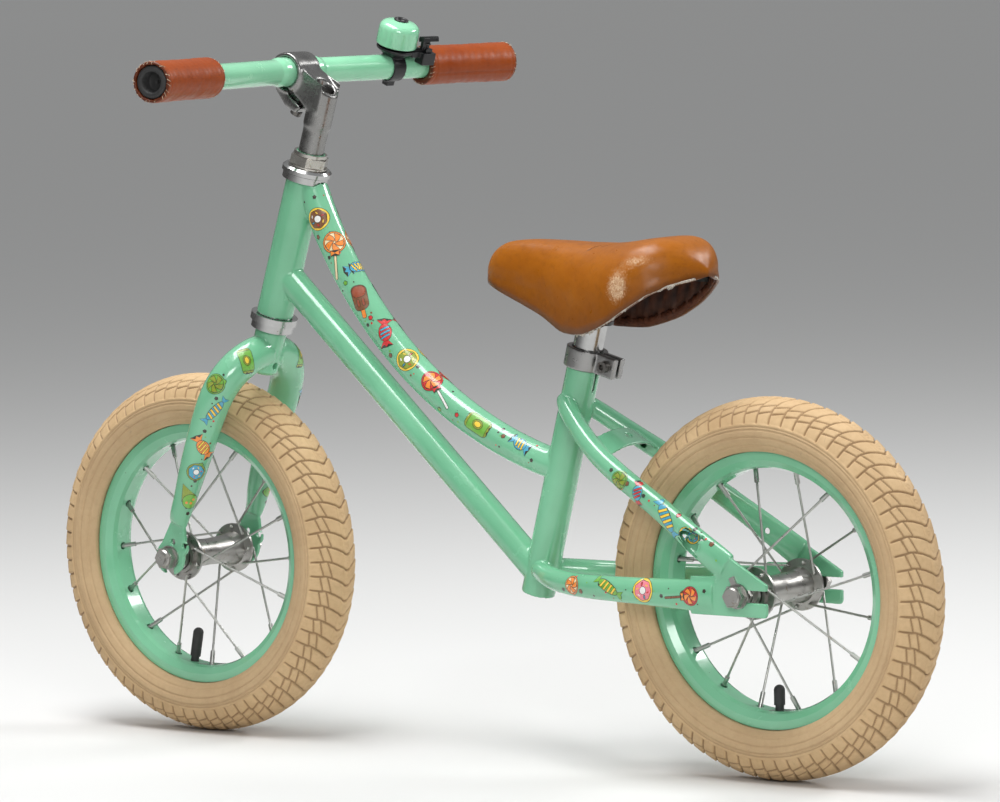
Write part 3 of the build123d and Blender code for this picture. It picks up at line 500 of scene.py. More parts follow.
def saddle_cover(material, hem_material, fray_material):
    """The padded cover: crown, rolled lower rim, wrinkles, a creased seam at the back and a pleated hem."""
    count = 150
    stations = saddle_rows(count)
    w = np.linspace(-1, 1, 121)
    a = np.sign(w) * (math.pi / 2) * np.abs(w) ** 1.6
    rings = np.array([saddle_point(s, a) for s in stations])
    for step in range(14):
        rings[1:-1] = 0.25 * rings[:-2] + 0.5 * rings[1:-1] + 0.25 * rings[2:]
    x, y, z = rings[..., 0], rings[..., 1], rings[..., 2]
    half = stations[:, 1][:, None]
    flank = smoothstep(0.45, 0.95, np.abs(w))[None, :] * smoothstep(4, 20, half)
    pull = 0.55 * ripple(x, y, z, 0.11, 3) * flank + 0.18 * ripple(x, y, z, 0.33, 4)
    seam = smoothstep(0.80, 0.93, np.abs(w)) * (1 - smoothstep(0.93, 1.0, np.abs(w)))
    pull -= 0.9 * flank * seam[None, :]
    crease = crease_depth(x, y)
    pull -= crease
    outward = np.stack([np.zeros_like(y), y / np.maximum(half, 4), np.full_like(y, 0.6)], -1)
    outward /= np.maximum(np.linalg.norm(outward, axis=-1, keepdims=True), 1e-6)
    outside = rings + np.minimum(pull, 0.0)[..., None] * outward
    lip = smoothstep(2, 18, stations[:, 1])
    rims = []
    for side, first in ((1, -1), (-1, 0)):
        rim = outside[:, first, :]
        turned = []
        for inward, rise in ((1.2, -0.9), (3.0, -0.7), (4.6, 0.9), (5.0, 3.6)):
            point = rim.copy()
            point[:, 1] -= side * np.minimum(inward, 0.6 * stations[:, 1]) * lip
            point[:, 2] += rise * lip
            turned.append(point[:, None, :])
        rims.append(turned)
    right, left = rims[0], rims[1][::-1]
    under = np.array([saddle_point(s, a[::-1]) for s in stations])
    inset = np.minimum(6.0, 0.55 * stations[:, 1])[:, None]
    shrink = 1 - inset / np.maximum(stations[:, 1][:, None], 1)
    under[..., 1] *= shrink
    room = (stations[:, 2] - stations[:, 3])[:, None]
    share = (under[..., 2] - stations[:, 3][:, None]) / np.maximum(room, 1e-3)
    under[..., 2] = stations[:, 3][:, None] + 3.6 * lip[:, None] + share * np.maximum(room - 9.5, 0.3)
    under = under[:, ::4, :]
    pleat = (1 + np.sin(under[..., 0] * 0.58 + under[..., 2] * 0.2)) / 2
    hang = smoothstep(0.25, 0.8, np.abs(under[..., 1]) / np.maximum(stations[:, 1][:, None], 1))
    under[..., 1] -= np.sign(under[..., 1]) * 3.0 * hang * pleat**2
    shape = np.concatenate([outside] + right + [under] + left, axis=1)
    rows, columns_count = shape.shape[:2]
    points = shape.reshape(-1, 3)
    column = np.tile(np.arange(columns_count), rows - 1)
    inside = (column >= len(w) + 3) & (column < len(w) + 4 + under.shape[1])
    slots = list(inside.astype(int)) + [0, 0]
    faces = strip_faces(rows, columns_count, flip=True)
    piece = add_mesh("saddle_cover_leather", points, faces, [material, hem_material], slots)
    low = np.repeat(stations[:, 3], columns_count)
    room = np.repeat(stations[:, 2] - stations[:, 3], columns_count)
    edge = 1 - smoothstep(0.5, 7.0, points[:, 2] - low)
    lower = 1 - smoothstep(0.05, 0.75, (points[:, 2] - low) / np.maximum(room, 1))
    creased = np.zeros((rows, columns_count))
    creased[:, : len(w)] = np.clip(crease / 0.6, 0, 1)
    # Painted shade: darker near the lower rim, over the lower part of the cover and in the crown's creases.
    set_attribute(piece, "painted_shade_and_dark_edges", np.clip(0.35 * edge + 0.42 * lower + 0.8 * creased.ravel(), 0, 1))
    # Where the hem's pleats fold, for painted shade in the lining.
    folded = np.zeros((rows, columns_count))
    folded[:, len(w) + 4 : len(w) + 4 + under.shape[1]] = 1 - pleat
    set_attribute(piece, "fold", folded.ravel())
    set_attribute(piece, "wear_and_painted_highlight", scuffs_and_painted_highlight(points[:, 0], points[:, 1], points[:, 2]))
    ride(piece, "saddle", ["saddle_cover"])
    make_hem(stations, hem_material, fray_material)


def line_distance(x, y, points):
    """Distance in plan from a broken line."""
    best = np.full(np.shape(x), 1e9)
    for (x0, y0), (x1, y1) in zip(points, points[1:]):
        dx, dy = x1 - x0, y1 - y0
        t = np.clip(((x - x0) * dx + (y - y0) * dy) / (dx * dx + dy * dy), 0, 1)
        best = np.minimum(best, np.hypot(x - x0 - t * dx, y - y0 - t * dy))
    return best


def crease_depth(x, y):
    """Three thin folds pressed into the crown by a rider's legs."""
    depth = np.zeros_like(x)
    left_fold = [(-139, 27), (-147, 15), (-155, 4)]
    rear_fold = [(-150, 23), (-160, 15), (-170, 9)]
    right_fold = [(-158, -22), (-170, -12)]
    for legs in (left_fold, rear_fold, right_fold):
        gap = line_distance(x, y, legs)
        depth = np.maximum(depth, 0.9 * np.exp(-(gap / 0.8) ** 2))
    return depth


def scuffs_and_painted_highlight(x, y, z):
    """How much wear and painted highlight the cover has: a scratched patch on the left rear shoulder with a
    painted highlight streaking up toward the top, small ones elsewhere.
    """
    left, right = smoothstep(4, 12, y), smoothstep(4, 12, -y)
    # Scratches and a painted highlight together on the left rear shoulder, the streak running up toward the
    # top.
    patch = 1.25 * left * np.exp(-(((x + 188) / 13) ** 2 + ((z - 404) / 17) ** 2))
    streak = 0.9 * left * np.exp(-(((x + 205) / 15) ** 2 + ((z - 425) / 7) ** 2))
    tail = 0.5 * left * np.exp(-(((x + 231) / 5) ** 2 + ((z - 412) / 4) ** 2))
    nose = 0.3 * np.exp(-(((x + 68) / 12) ** 2 + ((y - 8) / 10) ** 2)) * smoothstep(425, 432, z)
    other = 0.6 * right * np.exp(-(((x + 176) / 12) ** 2 + ((z - 410) / 9) ** 2))
    return np.clip(patch + streak + tail + nose + other, 0, 1)


def make_hem(stations, hem_material, fray_material):
    """The cover's turned-in hem: pleats round the inside of the lower rim, and its torn light edge."""
    keep = stations[stations[:, 1] > 12]
    fine = np.linspace(0, len(keep) - 1, 520)
    table = np.stack([np.interp(fine, np.arange(len(keep)), keep[:, k]) for k in range(4)], 1)
    points, faces = [], []
    for side in (1, -1):
        rows = []
        for k, (x, half, top, low) in enumerate(table):
            pleat = math.sin(k * 0.55) + 0.6 * math.sin(k * 0.23 + side)
            inner = half - 5.6 + 0.35 * pleat
            rows.append([
                (x, side * inner, low + 1.2),
                (x, side * (inner - 1.0 - 0.4 * pleat), low - 0.2),
                (x, side * (inner - 2.3 - 0.5 * pleat), low + 2.4 + 0.5 * pleat),
                (x, side * (inner - 2.6 - 0.5 * pleat), low + 7.0 + 0.8 * pleat),
                (x, side * (inner - 0.4), low + 7.5),
            ])
        start = len(points)
        points += [p for row in rows for p in row]
        faces += list(map(tuple, grid_faces(len(rows), 5, wrap_columns=True, start=start, flip=side > 0)))
        ends = strip_ends(len(rows), 5, start)
        faces += ends if side < 0 else [end[::-1] for end in ends]
    hem = add_mesh("saddle_hem", points, faces, [hem_material])
    ride(hem, "saddle")
    make_fray(table, fray_material)


def make_fray(table, material):
    """Torn backing along the lower rim: the left side's rear with little tabs, the right side plain."""
    along = np.arange(-237.0, -136.0, 0.3)
    order = np.argsort(table[:, 0])
    half, low = (np.interp(along, table[order, 0], table[order, k]) for k in (1, 3))
    source = np.random.default_rng(11)
    points, faces = [], []
    for side in (1, -1):
        tabs = []
        x = -140.0
        last = -232 if side > 0 else x
        while x > last:
            wide = source.uniform(0.5, 1.9)
            tabs.append((x, wide, source.uniform(1.0, 4.4) * source.uniform(0.5, 1.0)))
            x -= source.choice([1.6, 2.4, 4.0, 7.0, 12.0]) * source.uniform(0.7, 1.2)
        start = len(points)
        ragged = source.random(len(along))
        for k, x in enumerate(along):
            near = [(abs(x - tab) / wide, drop) for tab, wide, drop in tabs if abs(x - tab) < wide]
            reach = max([drop * (1 - share**4) for share, drop in near], default=0.0)
            drop = 0.35 + 0.4 * ragged[k] + reach * (0.8 + 0.2 * ragged[k])
            out = half[k] - 1.0
            points += [
                (x, side * (out + 0.3), low[k] + 1.4),
                (x, side * (out + 0.75), low[k] - 0.3),
                (x, side * (out - 0.1 + 0.25 * reach), low[k] - drop),
                (x, side * (out - 1.2), low[k] - 0.2),
            ]
        faces += list(map(tuple, grid_faces(len(along), 4, wrap_columns=True, start=start, flip=side < 0)))
        ends = strip_ends(len(along), 4, start)
        faces += ends if side > 0 else [end[::-1] for end in ends]
    piece = add_mesh("saddle_torn_edge", points, faces, [material])
    ride(piece, "saddle")


# ---- grips ----
def bar_frame(y):
    """Centre of the bar at this y, with its outward direction."""
    past = max(0.0, abs(y) - BAR_STRAIGHT)
    centre = Vector((BAR_CENTRE[0] - past * math.tan(BAR_SWEEP), y, BAR_CENTRE[1]))
    side = 1 if y > 0 else -1
    out = Vector((-math.sin(BAR_SWEEP), side * math.cos(BAR_SWEEP), 0))
    return centre, out


def grip_profile(t, turn, length):
    """Grip radius in millimetres at a distance from the inner end, with faint folds and a pressed seam."""
    radius = GRIP_R - 0.3 - 0.35 * math.exp(-(((t - length * 0.45) / 24) ** 2))
    ends = min(t, length - t)
    radius -= 0.9 * math.exp(-ends / 0.9)
    fold = 0.10 * math.sin(0.31 * t + 2.2 * math.sin(turn))
    fold += 0.07 * math.sin(0.83 * t + 3 * math.cos(turn * 2))
    radius += fold * min(1.0, ends / 5) - 0.22 * math.exp(-((ends - 5.2) / 0.9) ** 2)
    seam = abs((turn - 1.15 * math.pi + math.pi) % TAU - math.pi) * GRIP_R
    radius -= 0.75 * math.exp(-((seam / 0.55) ** 2))
    stitch = 0.35 * (1 if (t / 3.2) % 1 < 0.6 else 0) * math.exp(-(((seam - 1.9) / 0.45) ** 2))
    return min(radius + stitch, GRIP_R)


def rod(points, radius, sides=6):
    """A thin round thread through some points, closed at both ends."""
    points = [Vector(p) for p in points]
    verts = []
    for i, p in enumerate(points):
        ahead = points[min(i + 1, len(points) - 1)] - points[max(i - 1, 0)]
        ahead.normalize()
        side = ahead.orthogonal().normalized()
        other = ahead.cross(side)
        turns = [TAU * j / sides for j in range(sides)]
        verts += [tuple(p + (side * math.cos(a) + other * math.sin(a)) * radius) for a in turns]
    faces = list(map(tuple, grid_faces(len(points), sides, wrap_columns=True, flip=True)))
    return verts, faces + [end[::-1] for end in strip_ends(len(points), sides)]


def make_grip(side, material, thread, plug_material):
    """A leather-look sleeve with a stitched seam, turned-in ends and coarse thread round both ends."""
    name = "left" if side > 0 else "right"
    inner, out = bar_frame(side * GRIP_INNER)
    length = (BAR_HALF - GRIP_INNER) / math.cos(BAR_SWEEP) + 2.6
    up = Vector((0, 0, 1))
    across = up.cross(out).normalized()

    def point(t, turn, r):
        return inner + out * t + (across * math.cos(turn) + up * math.sin(turn)) * r

    ends = np.linspace(0, 8, 16)
    stations = np.concatenate([ends[:-1], np.linspace(8, length - 8, 60), length - ends[::-1][1:]])
    turns = np.linspace(0, TAU, 97)[:-1]
    points, painted_shade_and_dark_edges, wear_and_painted_highlight = [], [], []
    for t in stations:
        for turn in turns:
            r = grip_profile(t, turn, length)
            points.append(tuple(point(t, turn, r)))
            # Dark edges at both ends, and painted shade in the seam groove and the sleeve's dips; a lighter
            # band along the top half.
            painted_shade_and_dark_edges.append(0.8 * math.exp(-min(t, length - t) / 1.2) + 0.5 * max(0.0, GRIP_R - 1.0 - r))
            wear_and_painted_highlight.append(0.3 * math.exp(-(((t - 0.6 * length) / 15) ** 2)) * max(0.0, math.sin(turn)))
    outer_hem = [(length + 0.3, 15.9), (length + 0.2, 14.9), (length - 1.2, 14.4), (length - 5.0, 14.2)]
    bore = [(length * 0.5, 11.6), (0.3, 11.6)]
    for t, r in outer_hem + bore + [(-0.2, 14.6), (-0.2, 15.9)]:
        for turn in turns:
            ragged = 0.25 * math.sin(turn * 11) + 0.2 * math.sin(turn * 29)
            points.append(tuple(point(t, turn, r + (ragged if 12 < r < 15.5 else 0))))
            # The turned-in ends and the bore: dark edges, with painted shade inside.
            painted_shade_and_dark_edges.append(0.75)
            wear_and_painted_highlight.append(0.0)
    faces = grid_faces(len(stations) + 8, len(turns), wrap_rows=True, wrap_columns=True, flip=side < 0)
    piece = add_mesh("grip_sleeve_" + name, points, faces, [material])
    set_attribute(piece, "painted_shade_and_dark_edges", np.clip(painted_shade_and_dark_edges, 0, 1))
    set_attribute(piece, "wear_and_painted_highlight", np.clip(wear_and_painted_highlight, 0, 1))
    ride(piece, "handlebar", ["grip_" + name])

    ring = [(-11, 8.2), (-1.0, 8.7), (-0.2, 9.6), (-0.5, 12.6), (-1.4, 13.8), (-4.0, 14.0), (-5.2, 13.2)]
    turned = ring + [(-24, 9.5), (-24, 0.01), (-12, 0.01), (-11.4, 3.0), (-12.2, 6.6)]
    cap = [tuple(point(length + t, turn, r)) for t, r in turned for turn in turns]
    cap_faces = grid_faces(len(turned), len(turns), wrap_rows=True, wrap_columns=True, flip=side > 0)
    plug = add_mesh("bar_plug_" + name, cap, cap_faces, [plug_material])
    ride(plug, "handlebar", ["bar_plugs"])

    source = np.random.default_rng(5 + side)
    verts, thread_faces = [], []
    count = 24
    for outer in (True, False):
        edge = length if outer else 0.0
        step = 1 if outer else -1
        for k in range(count):
            if source.random() < 0.18:
                continue
            a = TAU * (k + 0.25 * source.random()) / count
            b = a + 0.17 * source.uniform(0.5, 1.2)
            back = 1.9 + 0.7 * source.random()
            path = [
                point(edge - step * back, a, 17.2),
                point(edge - step * 0.7, (2 * a + b) / 3, 17.45),
                point(edge + step * 0.35, (a + 2 * b) / 3, 16.6),
                point(edge + step * 0.45, b, 15.2 + 0.5 * source.random()),
            ]
            join(verts, thread_faces, *rod(path, 0.24 if outer else 0.2))
    stitches = add_mesh("grip_stitches_" + name, verts, thread_faces, [thread])
    ride(stitches, "handlebar")


# ---- printed stickers on the tubes ----
def steer_to_world(x, y, t):
    """A point given along and square to the steering axis."""
    c, s = math.cos(STEER_LEAN), math.sin(STEER_LEAN)
    return Vector((STEER_FOOT[0] + x * c - t * s, y, STEER_FOOT[1] + x * s + t * c))


def circle(radius, count=28):
    turns = [TAU * k / count for k in range(count)]
    return [(radius * math.cos(a), radius * math.sin(a)) for a in turns]


def star(radius, points=5, inner=0.45, turn=math.pi / 2):
    outline = []
    for k in range(points * 2):
        r = radius if k % 2 == 0 else radius * inner
        a = turn + math.pi * k / points
        outline.append((r * math.cos(a), r * math.sin(a)))
    return outline


def moved(outline, dx, dy, turn=0.0, sx=1.0, sy=1.0):
    c, s = math.cos(turn), math.sin(turn)
    return [(dx + c * x * sx - s * y * sy, dy + s * x * sx + c * y * sy) for x, y in outline]


def rounded_box(w, h, r, steps=5):
    outline = []
    for cx, cy, a0 in ((w - r, h - r, 0), (r - w, h - r, 0.5), (r - w, r - h, 1), (w - r, r - h, 1.5)):
        for k in range(steps + 1):
            a = math.pi * (a0 + 0.5 * k / steps)
            outline.append((cx + r * math.cos(a), cy + r * math.sin(a)))
    return outline


def oval(half_width, half_height):
    return moved(circle(1.0), 0, 0, 0, half_width, half_height)


def swirl(size, edge, stripe, middle):
    """A disc with curved petals of a second colour."""
    shapes = [(circle(size), edge), (circle(size * 0.86), middle)]
    for k in range(5):
        a = TAU * k / 5
        petal = [(0.12 * size * math.cos(a), 0.12 * size * math.sin(a))]
        for reach, lead in ((np.linspace(0.3, 1, 6), 0.0), (np.linspace(1, 0.3, 6), 0.62)):
            bends = [(size * 0.84 * t, a + 0.9 * t + lead) for t in reach]
            petal += [(r * math.cos(b), r * math.sin(b)) for r, b in bends]
        shapes.append((petal, stripe))
    return shapes


def ring_biscuit(size, dough, icing, dots):
    """A round biscuit with icing, a hole and sprinkles."""
    edge = [(size * (0.80 + 0.05 * math.sin(7 * a)), a) for a in np.linspace(0, TAU, 43)[:-1]]
    wavy = [(r * math.cos(a), r * math.sin(a)) for r, a in edge]
    shapes = [(circle(size), dough), (wavy, icing), (circle(size * 0.30), "white")]
    for k in range(6):
        a = TAU * k / 6 + 0.3
        sprinkle = rounded_box(0.13 * size, 0.05 * size, 0.04 * size, 2)
        place = (0.56 * size * math.cos(a), 0.56 * size * math.sin(a))
        shapes.append((moved(sprinkle, *place, 2.1 * k), dots[k % len(dots)]))
    return shapes


def wrapped_sweet(size, body, stripe, tails):
    """An oval sweet with two fanned paper ends."""
    shapes = []
    for side in (-1, 1):
        shape = [(0.42, 0), (1, 0.52), (0.86, 0.18), (1.04, 0), (0.86, -0.18), (1, -0.52)]
        fan = [(side * x * size, y * size) for x, y in shape]
        shapes.append((fan if side > 0 else fan[::-1], tails))
    shapes.append((oval(0.62 * size, 0.46 * size), body))
    for x in (-0.3, 0.0, 0.3):
        band = rounded_box(0.06 * size, 0.36 * size * math.sqrt(1 - x * x), 0.03 * size, 2)
        shapes.append((moved(band, x * size, 0, 0.35), stripe))
    return shapes


def ice_bar(size, shell, top, stick):
    """An ice on a flat stick, with a bite's worth of second colour on top."""
    bead = rounded_box(0.07 * size, 0.22 * size, 0.05 * size, 2)
    return [
        (moved(rounded_box(0.12 * size, 0.35 * size, 0.09 * size, 3), 0, -0.95 * size), stick),
        (rounded_box(0.46 * size, 0.78 * size, 0.34 * size), shell),
        (moved(rounded_box(0.40 * size, 0.34 * size, 0.28 * size), 0, 0.38 * size), top),
        (moved(bead, -0.16 * size, -0.32 * size), top),
        (moved(bead, 0.16 * size, -0.32 * size), top),
    ]


def barley_box(size, body, stripe, spot):
    """A flat paper packet with crimped ends and an oval window."""
    shapes = []
    for side in (-1, 1):
        teeth = [(side * 0.78 * size, -0.5 * size)]
        for k in range(7):
            teeth.append((side * size * (1.0 if k % 2 else 0.9), (-0.5 + k / 6) * size))
        teeth.append((side * 0.78 * size, 0.5 * size))
        shapes.append((teeth, stripe))
    shapes.append((rounded_box(0.8 * size, 0.56 * size, 0.1 * size), body))
    return shapes + [(oval(0.40 * size, 0.30 * size), stripe), (oval(0.26 * size, 0.17 * size), spot)]


def cone_sweet(size, cup, scoop, dots):
    """A scoop on a wafer cone."""
    shapes = [([(-0.5 * size, 0.1 * size), (0.0, -size), (0.5 * size, 0.1 * size)], cup)]
    shapes.append((moved(circle(0.5 * size), 0, 0.32 * size), scoop))
    for k in range(3):
        place = ((k - 1) * 0.25 * size, (0.3 + 0.16 * (k % 2)) * size)
        shapes.append((moved(circle(0.09 * size, 10), *place), dots))
    return shapes


def long_sweet(size, body, stripe, tails):
    """A long twisted sweet with slanting bands and two fanned ends."""
    shapes = []
    for side in (-1, 1):
        fan = [(0.6, 0), (1, 0.27), (0.92, 0), (1, -0.27)]
        shapes.append(([(side * x * size, y * size) for x, y in fan], tails))
    shapes.append((oval(0.70 * size, 0.25 * size), body))
    for x in (-0.42, -0.15, 0.12, 0.39):
        half = 0.23 * math.sqrt(1 - (x / 0.72) ** 2)
        band = [(x - 0.11, -half), (x, -half), (x + 0.11, half), (x, half)]
        shapes.append(([(size * u, size * v) for u, v in band], stripe))
    return shapes


def on_stick(size, shapes, stick, tie):
    """Puts a sweet on a stick with a bow."""
    rod_shape = moved(rounded_box(0.09 * size, 1.25 * size, 0.08 * size, 2), 0, -2.1 * size)
    knot = [(0, -0.98), (0.36, -0.8), (0.36, -1.22), (0, -1.04), (-0.36, -1.22), (-0.36, -0.8)]
    bow = [(x * size, y * size) for x, y in knot]
    return [(rod_shape, stick)] + shapes + [(bow, tie)]


def grown(outline, by):
    """The outline made bigger all round, for its dark edge line."""
    ring = np.array(outline, float)
    area = np.sum(ring[:, 0] * np.roll(ring[:, 1], -1) - np.roll(ring[:, 0], -1) * ring[:, 1])
    if area < 0:
        ring = ring[::-1]
    ahead = np.roll(ring, -1, 0) - ring
    normal = np.stack([ahead[:, 1], -ahead[:, 0]], 1)
    normal /= np.maximum(np.linalg.norm(normal, axis=1, keepdims=True), 1e-9)
    corner = normal + np.roll(normal, 1, 0)
    corner /= np.maximum((corner * normal).sum(1, keepdims=True), 0.7)
    return [tuple(p) for p in ring + by * corner]


def plain(shape, colour):
    return [(shape, colour)]


def clip_triangles(outline):
    """An outline cut into triangles small enough to bend round a tube."""
    work = bmesh.new()
    ring = [work.verts.new((x, y, 0)) for x, y in outline]
    face = work.faces.new(ring)
    bmesh.ops.triangulate(work, faces=[face], ngon_method="EAR_CLIP")
    for step in range(3):
        long_edges = [e for e in work.edges if e.calc_length() > 1.4]
        if not long_edges:
            break
        bmesh.ops.subdivide_edges(work, edges=long_edges, cuts=1)
        bmesh.ops.triangulate(work, faces=work.faces[:])
    work.verts.index_update()
    points = [(v.co.x, v.co.y) for v in work.verts]
    faces = [tuple(v.index for v in f.verts) for f in work.faces]
    work.free()
    return points, faces


class Print:
    """Collects the stickers on one body into one thin mesh that lies on its tubes."""

    def __init__(self, inks):
        self.names = list(inks)
        self.inks = inks
        self.points, self.faces, self.slots = [], [], []

    def lay(self, outline, ink, lift, centre, right, up, away, tree):
        """Lays one outline, drawn in millimetres, on the surface under a flat patch at the centre."""
        flat, triangles = clip_triangles(outline)
        index_of = {}
        for i, (x, y) in enumerate(flat):
            start = (centre + right * x + up * y + away * 40) * MM
            hit, normal, index, distance = tree.ray_cast(start, -away, 0.06)
            if hit is not None and normal.dot(away) > 0.15:
                index_of[i] = len(self.points)
                self.points.append(tuple(hit / MM + normal * lift))
        for triangle in triangles:
            if all(i in index_of for i in triangle):
                a, b, c = (Vector(self.points[index_of[i]]) for i in triangle)
                if max((a - b).length, (b - c).length, (c - a).length) > 4.0:
                    continue
                order = triangle if (b - a).cross(c - a).dot(away) > 0 else triangle[::-1]
                self.faces.append(tuple(index_of[i] for i in order))
                self.slots.append(self.names.index(ink))

    def stick(self, shapes, place, along, away, tree, heading=0.0):
        """Puts a sticker on both sides of the bike, its up at a heading from the direction along the tube."""
        along, away = Vector(along).normalized(), Vector(away).normalized()
        down = away.cross(along).normalized()
        along = down.cross(away)
        turn = math.radians(heading)
        up = along * math.cos(turn) + down * math.sin(turn)
        right = along * math.sin(turn) - down * math.cos(turn)
        for side in (1, -1):
            flip = Vector((1, side, 1))
            frame_vectors = [v * flip for v in (Vector(place), right, up, away)]
            for layer, (outline, ink) in enumerate(shapes):
                size = max(max(abs(x), abs(y)) for x, y in moved(outline, -outline[0][0], -outline[0][1]))
                if size > 2.4 and ink != "dark":
                    self.lay(grown(outline, 0.42), "dark", 0.10 + 0.05 * layer, *frame_vectors, tree)
                self.lay(outline, ink, 0.13 + 0.05 * layer, *frame_vectors, tree)

    def finish(self, name, body, slot):
        piece = add_mesh(name, self.points, self.faces, [self.inks[n] for n in self.names], self.slots)
        return ride(piece, body)


def top_tube_spot(angle, roll):
    """Centre, direction and outward direction on the top tube's left side, angles in degrees."""
    a, r = math.radians(angle), math.radians(roll)
    out = Vector((math.cos(a), 0, math.sin(a)))
    centre = Vector((TOP_ARC_CENTRE[0], 0, TOP_ARC_CENTRE[1])) + out * TOP_ARC_R
    along = Vector((-math.sin(a), 0, math.cos(a)))
    return centre, along, Vector((0, 1, 0)) * math.cos(r) - out * math.sin(r)


def confetti(prints, spots, tree):
    """Small stars and dots strewn between the sweets."""
    colours = ("dark", "dark", "red", "brown", "green")
    for k, (place, along, away) in enumerate(spots):
        ink = colours[k % len(colours)]
        shape = star(1.9, inner=0.5, turn=0.7 * k) if k % 3 == 0 else circle(0.95 if k % 2 else 0.65, 12)
        prints.stick(plain(shape, ink), place, along, away, tree)


def make_prints(inks, frame_tree, fork_tree):
    dots = ("red", "yellow", "white", "blue")
    source = np.random.default_rng(21)
    frame_print, fork_print = Print(inks), Print(inks)
    top = [
        (-25.1, 15, 0, ring_biscuit(9.6, "yellow", "brown", dots)),
        (-29.0, 40, -20, on_stick(9.4, swirl(9.4, "orange", "orange", "cream"), "cream", "orange")),
        (-33.4, 78, 0, wrapped_sweet(10.0, "blue", "yellow", "blue")),
        (-37.6, 27, -17, ice_bar(14.0, "brown", "rust", "orange")),
        (-43.8, 32, 60, wrapped_sweet(12.0, "red", "blue", "red")),
        (-48.9, 32, 0, ring_biscuit(9.6, "yellow", "olive", dots)),
        (-53.7, 44, -15, on_stick(9.0, swirl(9.0, "red", "orange", "red"), "white", "red")),
        (-63.4, 22, 90, barley_box(12.5, "green", "olive", "yellow")),
        (-70.6, 38, 78, wrapped_sweet(10.5, "blue", "yellow", "blue")),
    ]
    for angle, roll, heading, shapes in top:
        frame_print.stick(shapes, *top_tube_spot(angle, roll), frame_tree, heading)
    gaps = (-22.4, -27.2, -31.0, -35.2, -40.6, -41.6, -46.4, -51.2, -57.2, -60.0, -66.8, -67.6, -73.2)
    spots = []
    for a in gaps:
        spots += [top_tube_spot(a + source.uniform(-0.5, 0.5), source.uniform(-25, 70)) for k in range(3)]
    confetti(frame_print, spots, frame_tree)

    seat_along = (0.84, 0, 0.54)
    seat = [((-184.8, 44, 244.4), 0, swirl(7.6, "green", "olive", "green")),
            ((-203.7, 46, 235.0), 33, wrapped_sweet(9.6, "blue", "red", "red")),
            ((-233.4, 48, 216.0), 64, long_sweet(18.0, "blue", "yellow", "blue")),
            ((-253.5, 50.5, 203.2), 0, ring_biscuit(6.7, "yellow", "blue", dots))]
    for place, heading, shapes in seat:
        frame_print.stick(shapes, place, seat_along, (0, 1, 0.12), frame_tree, heading)
    spots = []
    for k in range(20):
        step = k / 19
        place = (-176 - 108 * step, 48, 249 - 58 * step + source.uniform(-7, 7))
        spots.append((place, seat_along, (0, 1, 0.1)))
    confetti(frame_print, spots, frame_tree)

    chain = [((-133, 44, 155.8), 0, swirl(7.4, "orange", "orange", "cream")),
             ((-173.9, 48, 157.1), 64, long_sweet(16.0, "green", "yellow", "green")),
             ((-210.6, 50, 156.5), 0, ring_biscuit(9.6, "yellow", "pink", dots)),
             ((-258.0, 53, 154.6), 186, on_stick(7.6, swirl(7.6, "red", "orange", "red"), "brown", "orange"))]
    for place, heading, shapes in chain:
        frame_print.stick(shapes, place, (1, 0, 0), (0, 1, 0.05), frame_tree, heading)
    places = [(-122 - 150 * k / 21, 48, 155.5 + source.uniform(-8, 8)) for k in range(22)]
    spots = [(place, (1, 0, 0), (0, 1, 0)) for place in places]
    confetti(frame_print, spots, frame_tree)

    def leg_spot(x, y, t, away):
        foot = steer_to_world(0, 0, 0)
        outward = steer_to_world(*away) - foot
        return steer_to_world(x, y, t), steer_to_world(0, 0, 1) - foot, outward

    turned = (-0.74, 0.67, 0.0)
    fork = [(leg_spot(-3, 32, 180, (-0.69, 0.49, 0.53)), 110, barley_box(10.5, "green", "olive", "yellow")),
            (leg_spot(5.0, 50, 159, (-0.3, 0.92, 0.22)), 0, swirl(8.6, "green", "olive", "green")),
            (leg_spot(5.6, 49, 138, turned), 60, long_sweet(14.5, "blue", "yellow", "blue")),
            (leg_spot(9.5, 49, 103, turned), 132, wrapped_sweet(11.0, "orange", "yellow", "orange")),
            (leg_spot(11.0, 49, 79.5, turned), 0, ring_biscuit(7.8, "olive", "blue", dots)),
            (leg_spot(12.6, 49.5, 55, turned), 212, cone_sweet(13.0, "olive", "green", "orange"))]
    for spot, heading, shapes in fork:
        fork_print.stick(shapes, *spot, fork_tree, heading)
    spots = [leg_spot(5 + source.uniform(-3, 9), 48.5, 40 + 130 * k / 25, turned) for k in range(26)]
    confetti(fork_print, spots, fork_tree)
    frame_print.finish("frame_prints", "frame", "frame_paint")
    fork_print.finish("fork_prints", "fork", "frame_paint")


# ---- softened castings and welded tubes ----
def remeshed(name, verts, faces, material, voxel, passes):
    """One closed skin round some overlapping solids, its corners filleted by smoothing."""
    mesh = bpy.data.meshes.new(name)
    mesh.from_pydata(verts, [], faces)
    piece = bpy.data.objects.new(name, mesh)
    bpy.context.scene.collection.objects.link(piece)
    shell = piece.modifiers.new("shell", "REMESH")
    shell.mode = "VOXEL"
    shell.voxel_size = voxel * MM
    soft = piece.modifiers.new("soft", "SMOOTH")
    soft.factor = 0.5
    soft.iterations = passes
    shaped = bpy.data.meshes.new_from_object(piece.evaluated_get(bpy.context.evaluated_depsgraph_get()))
    piece.modifiers.clear()
    piece.data = shaped
    shaped.materials.clear()
    shaped.materials.append(material)
    shaped.polygons.foreach_set("use_smooth", np.ones(len(shaped.polygons), bool))
    return piece


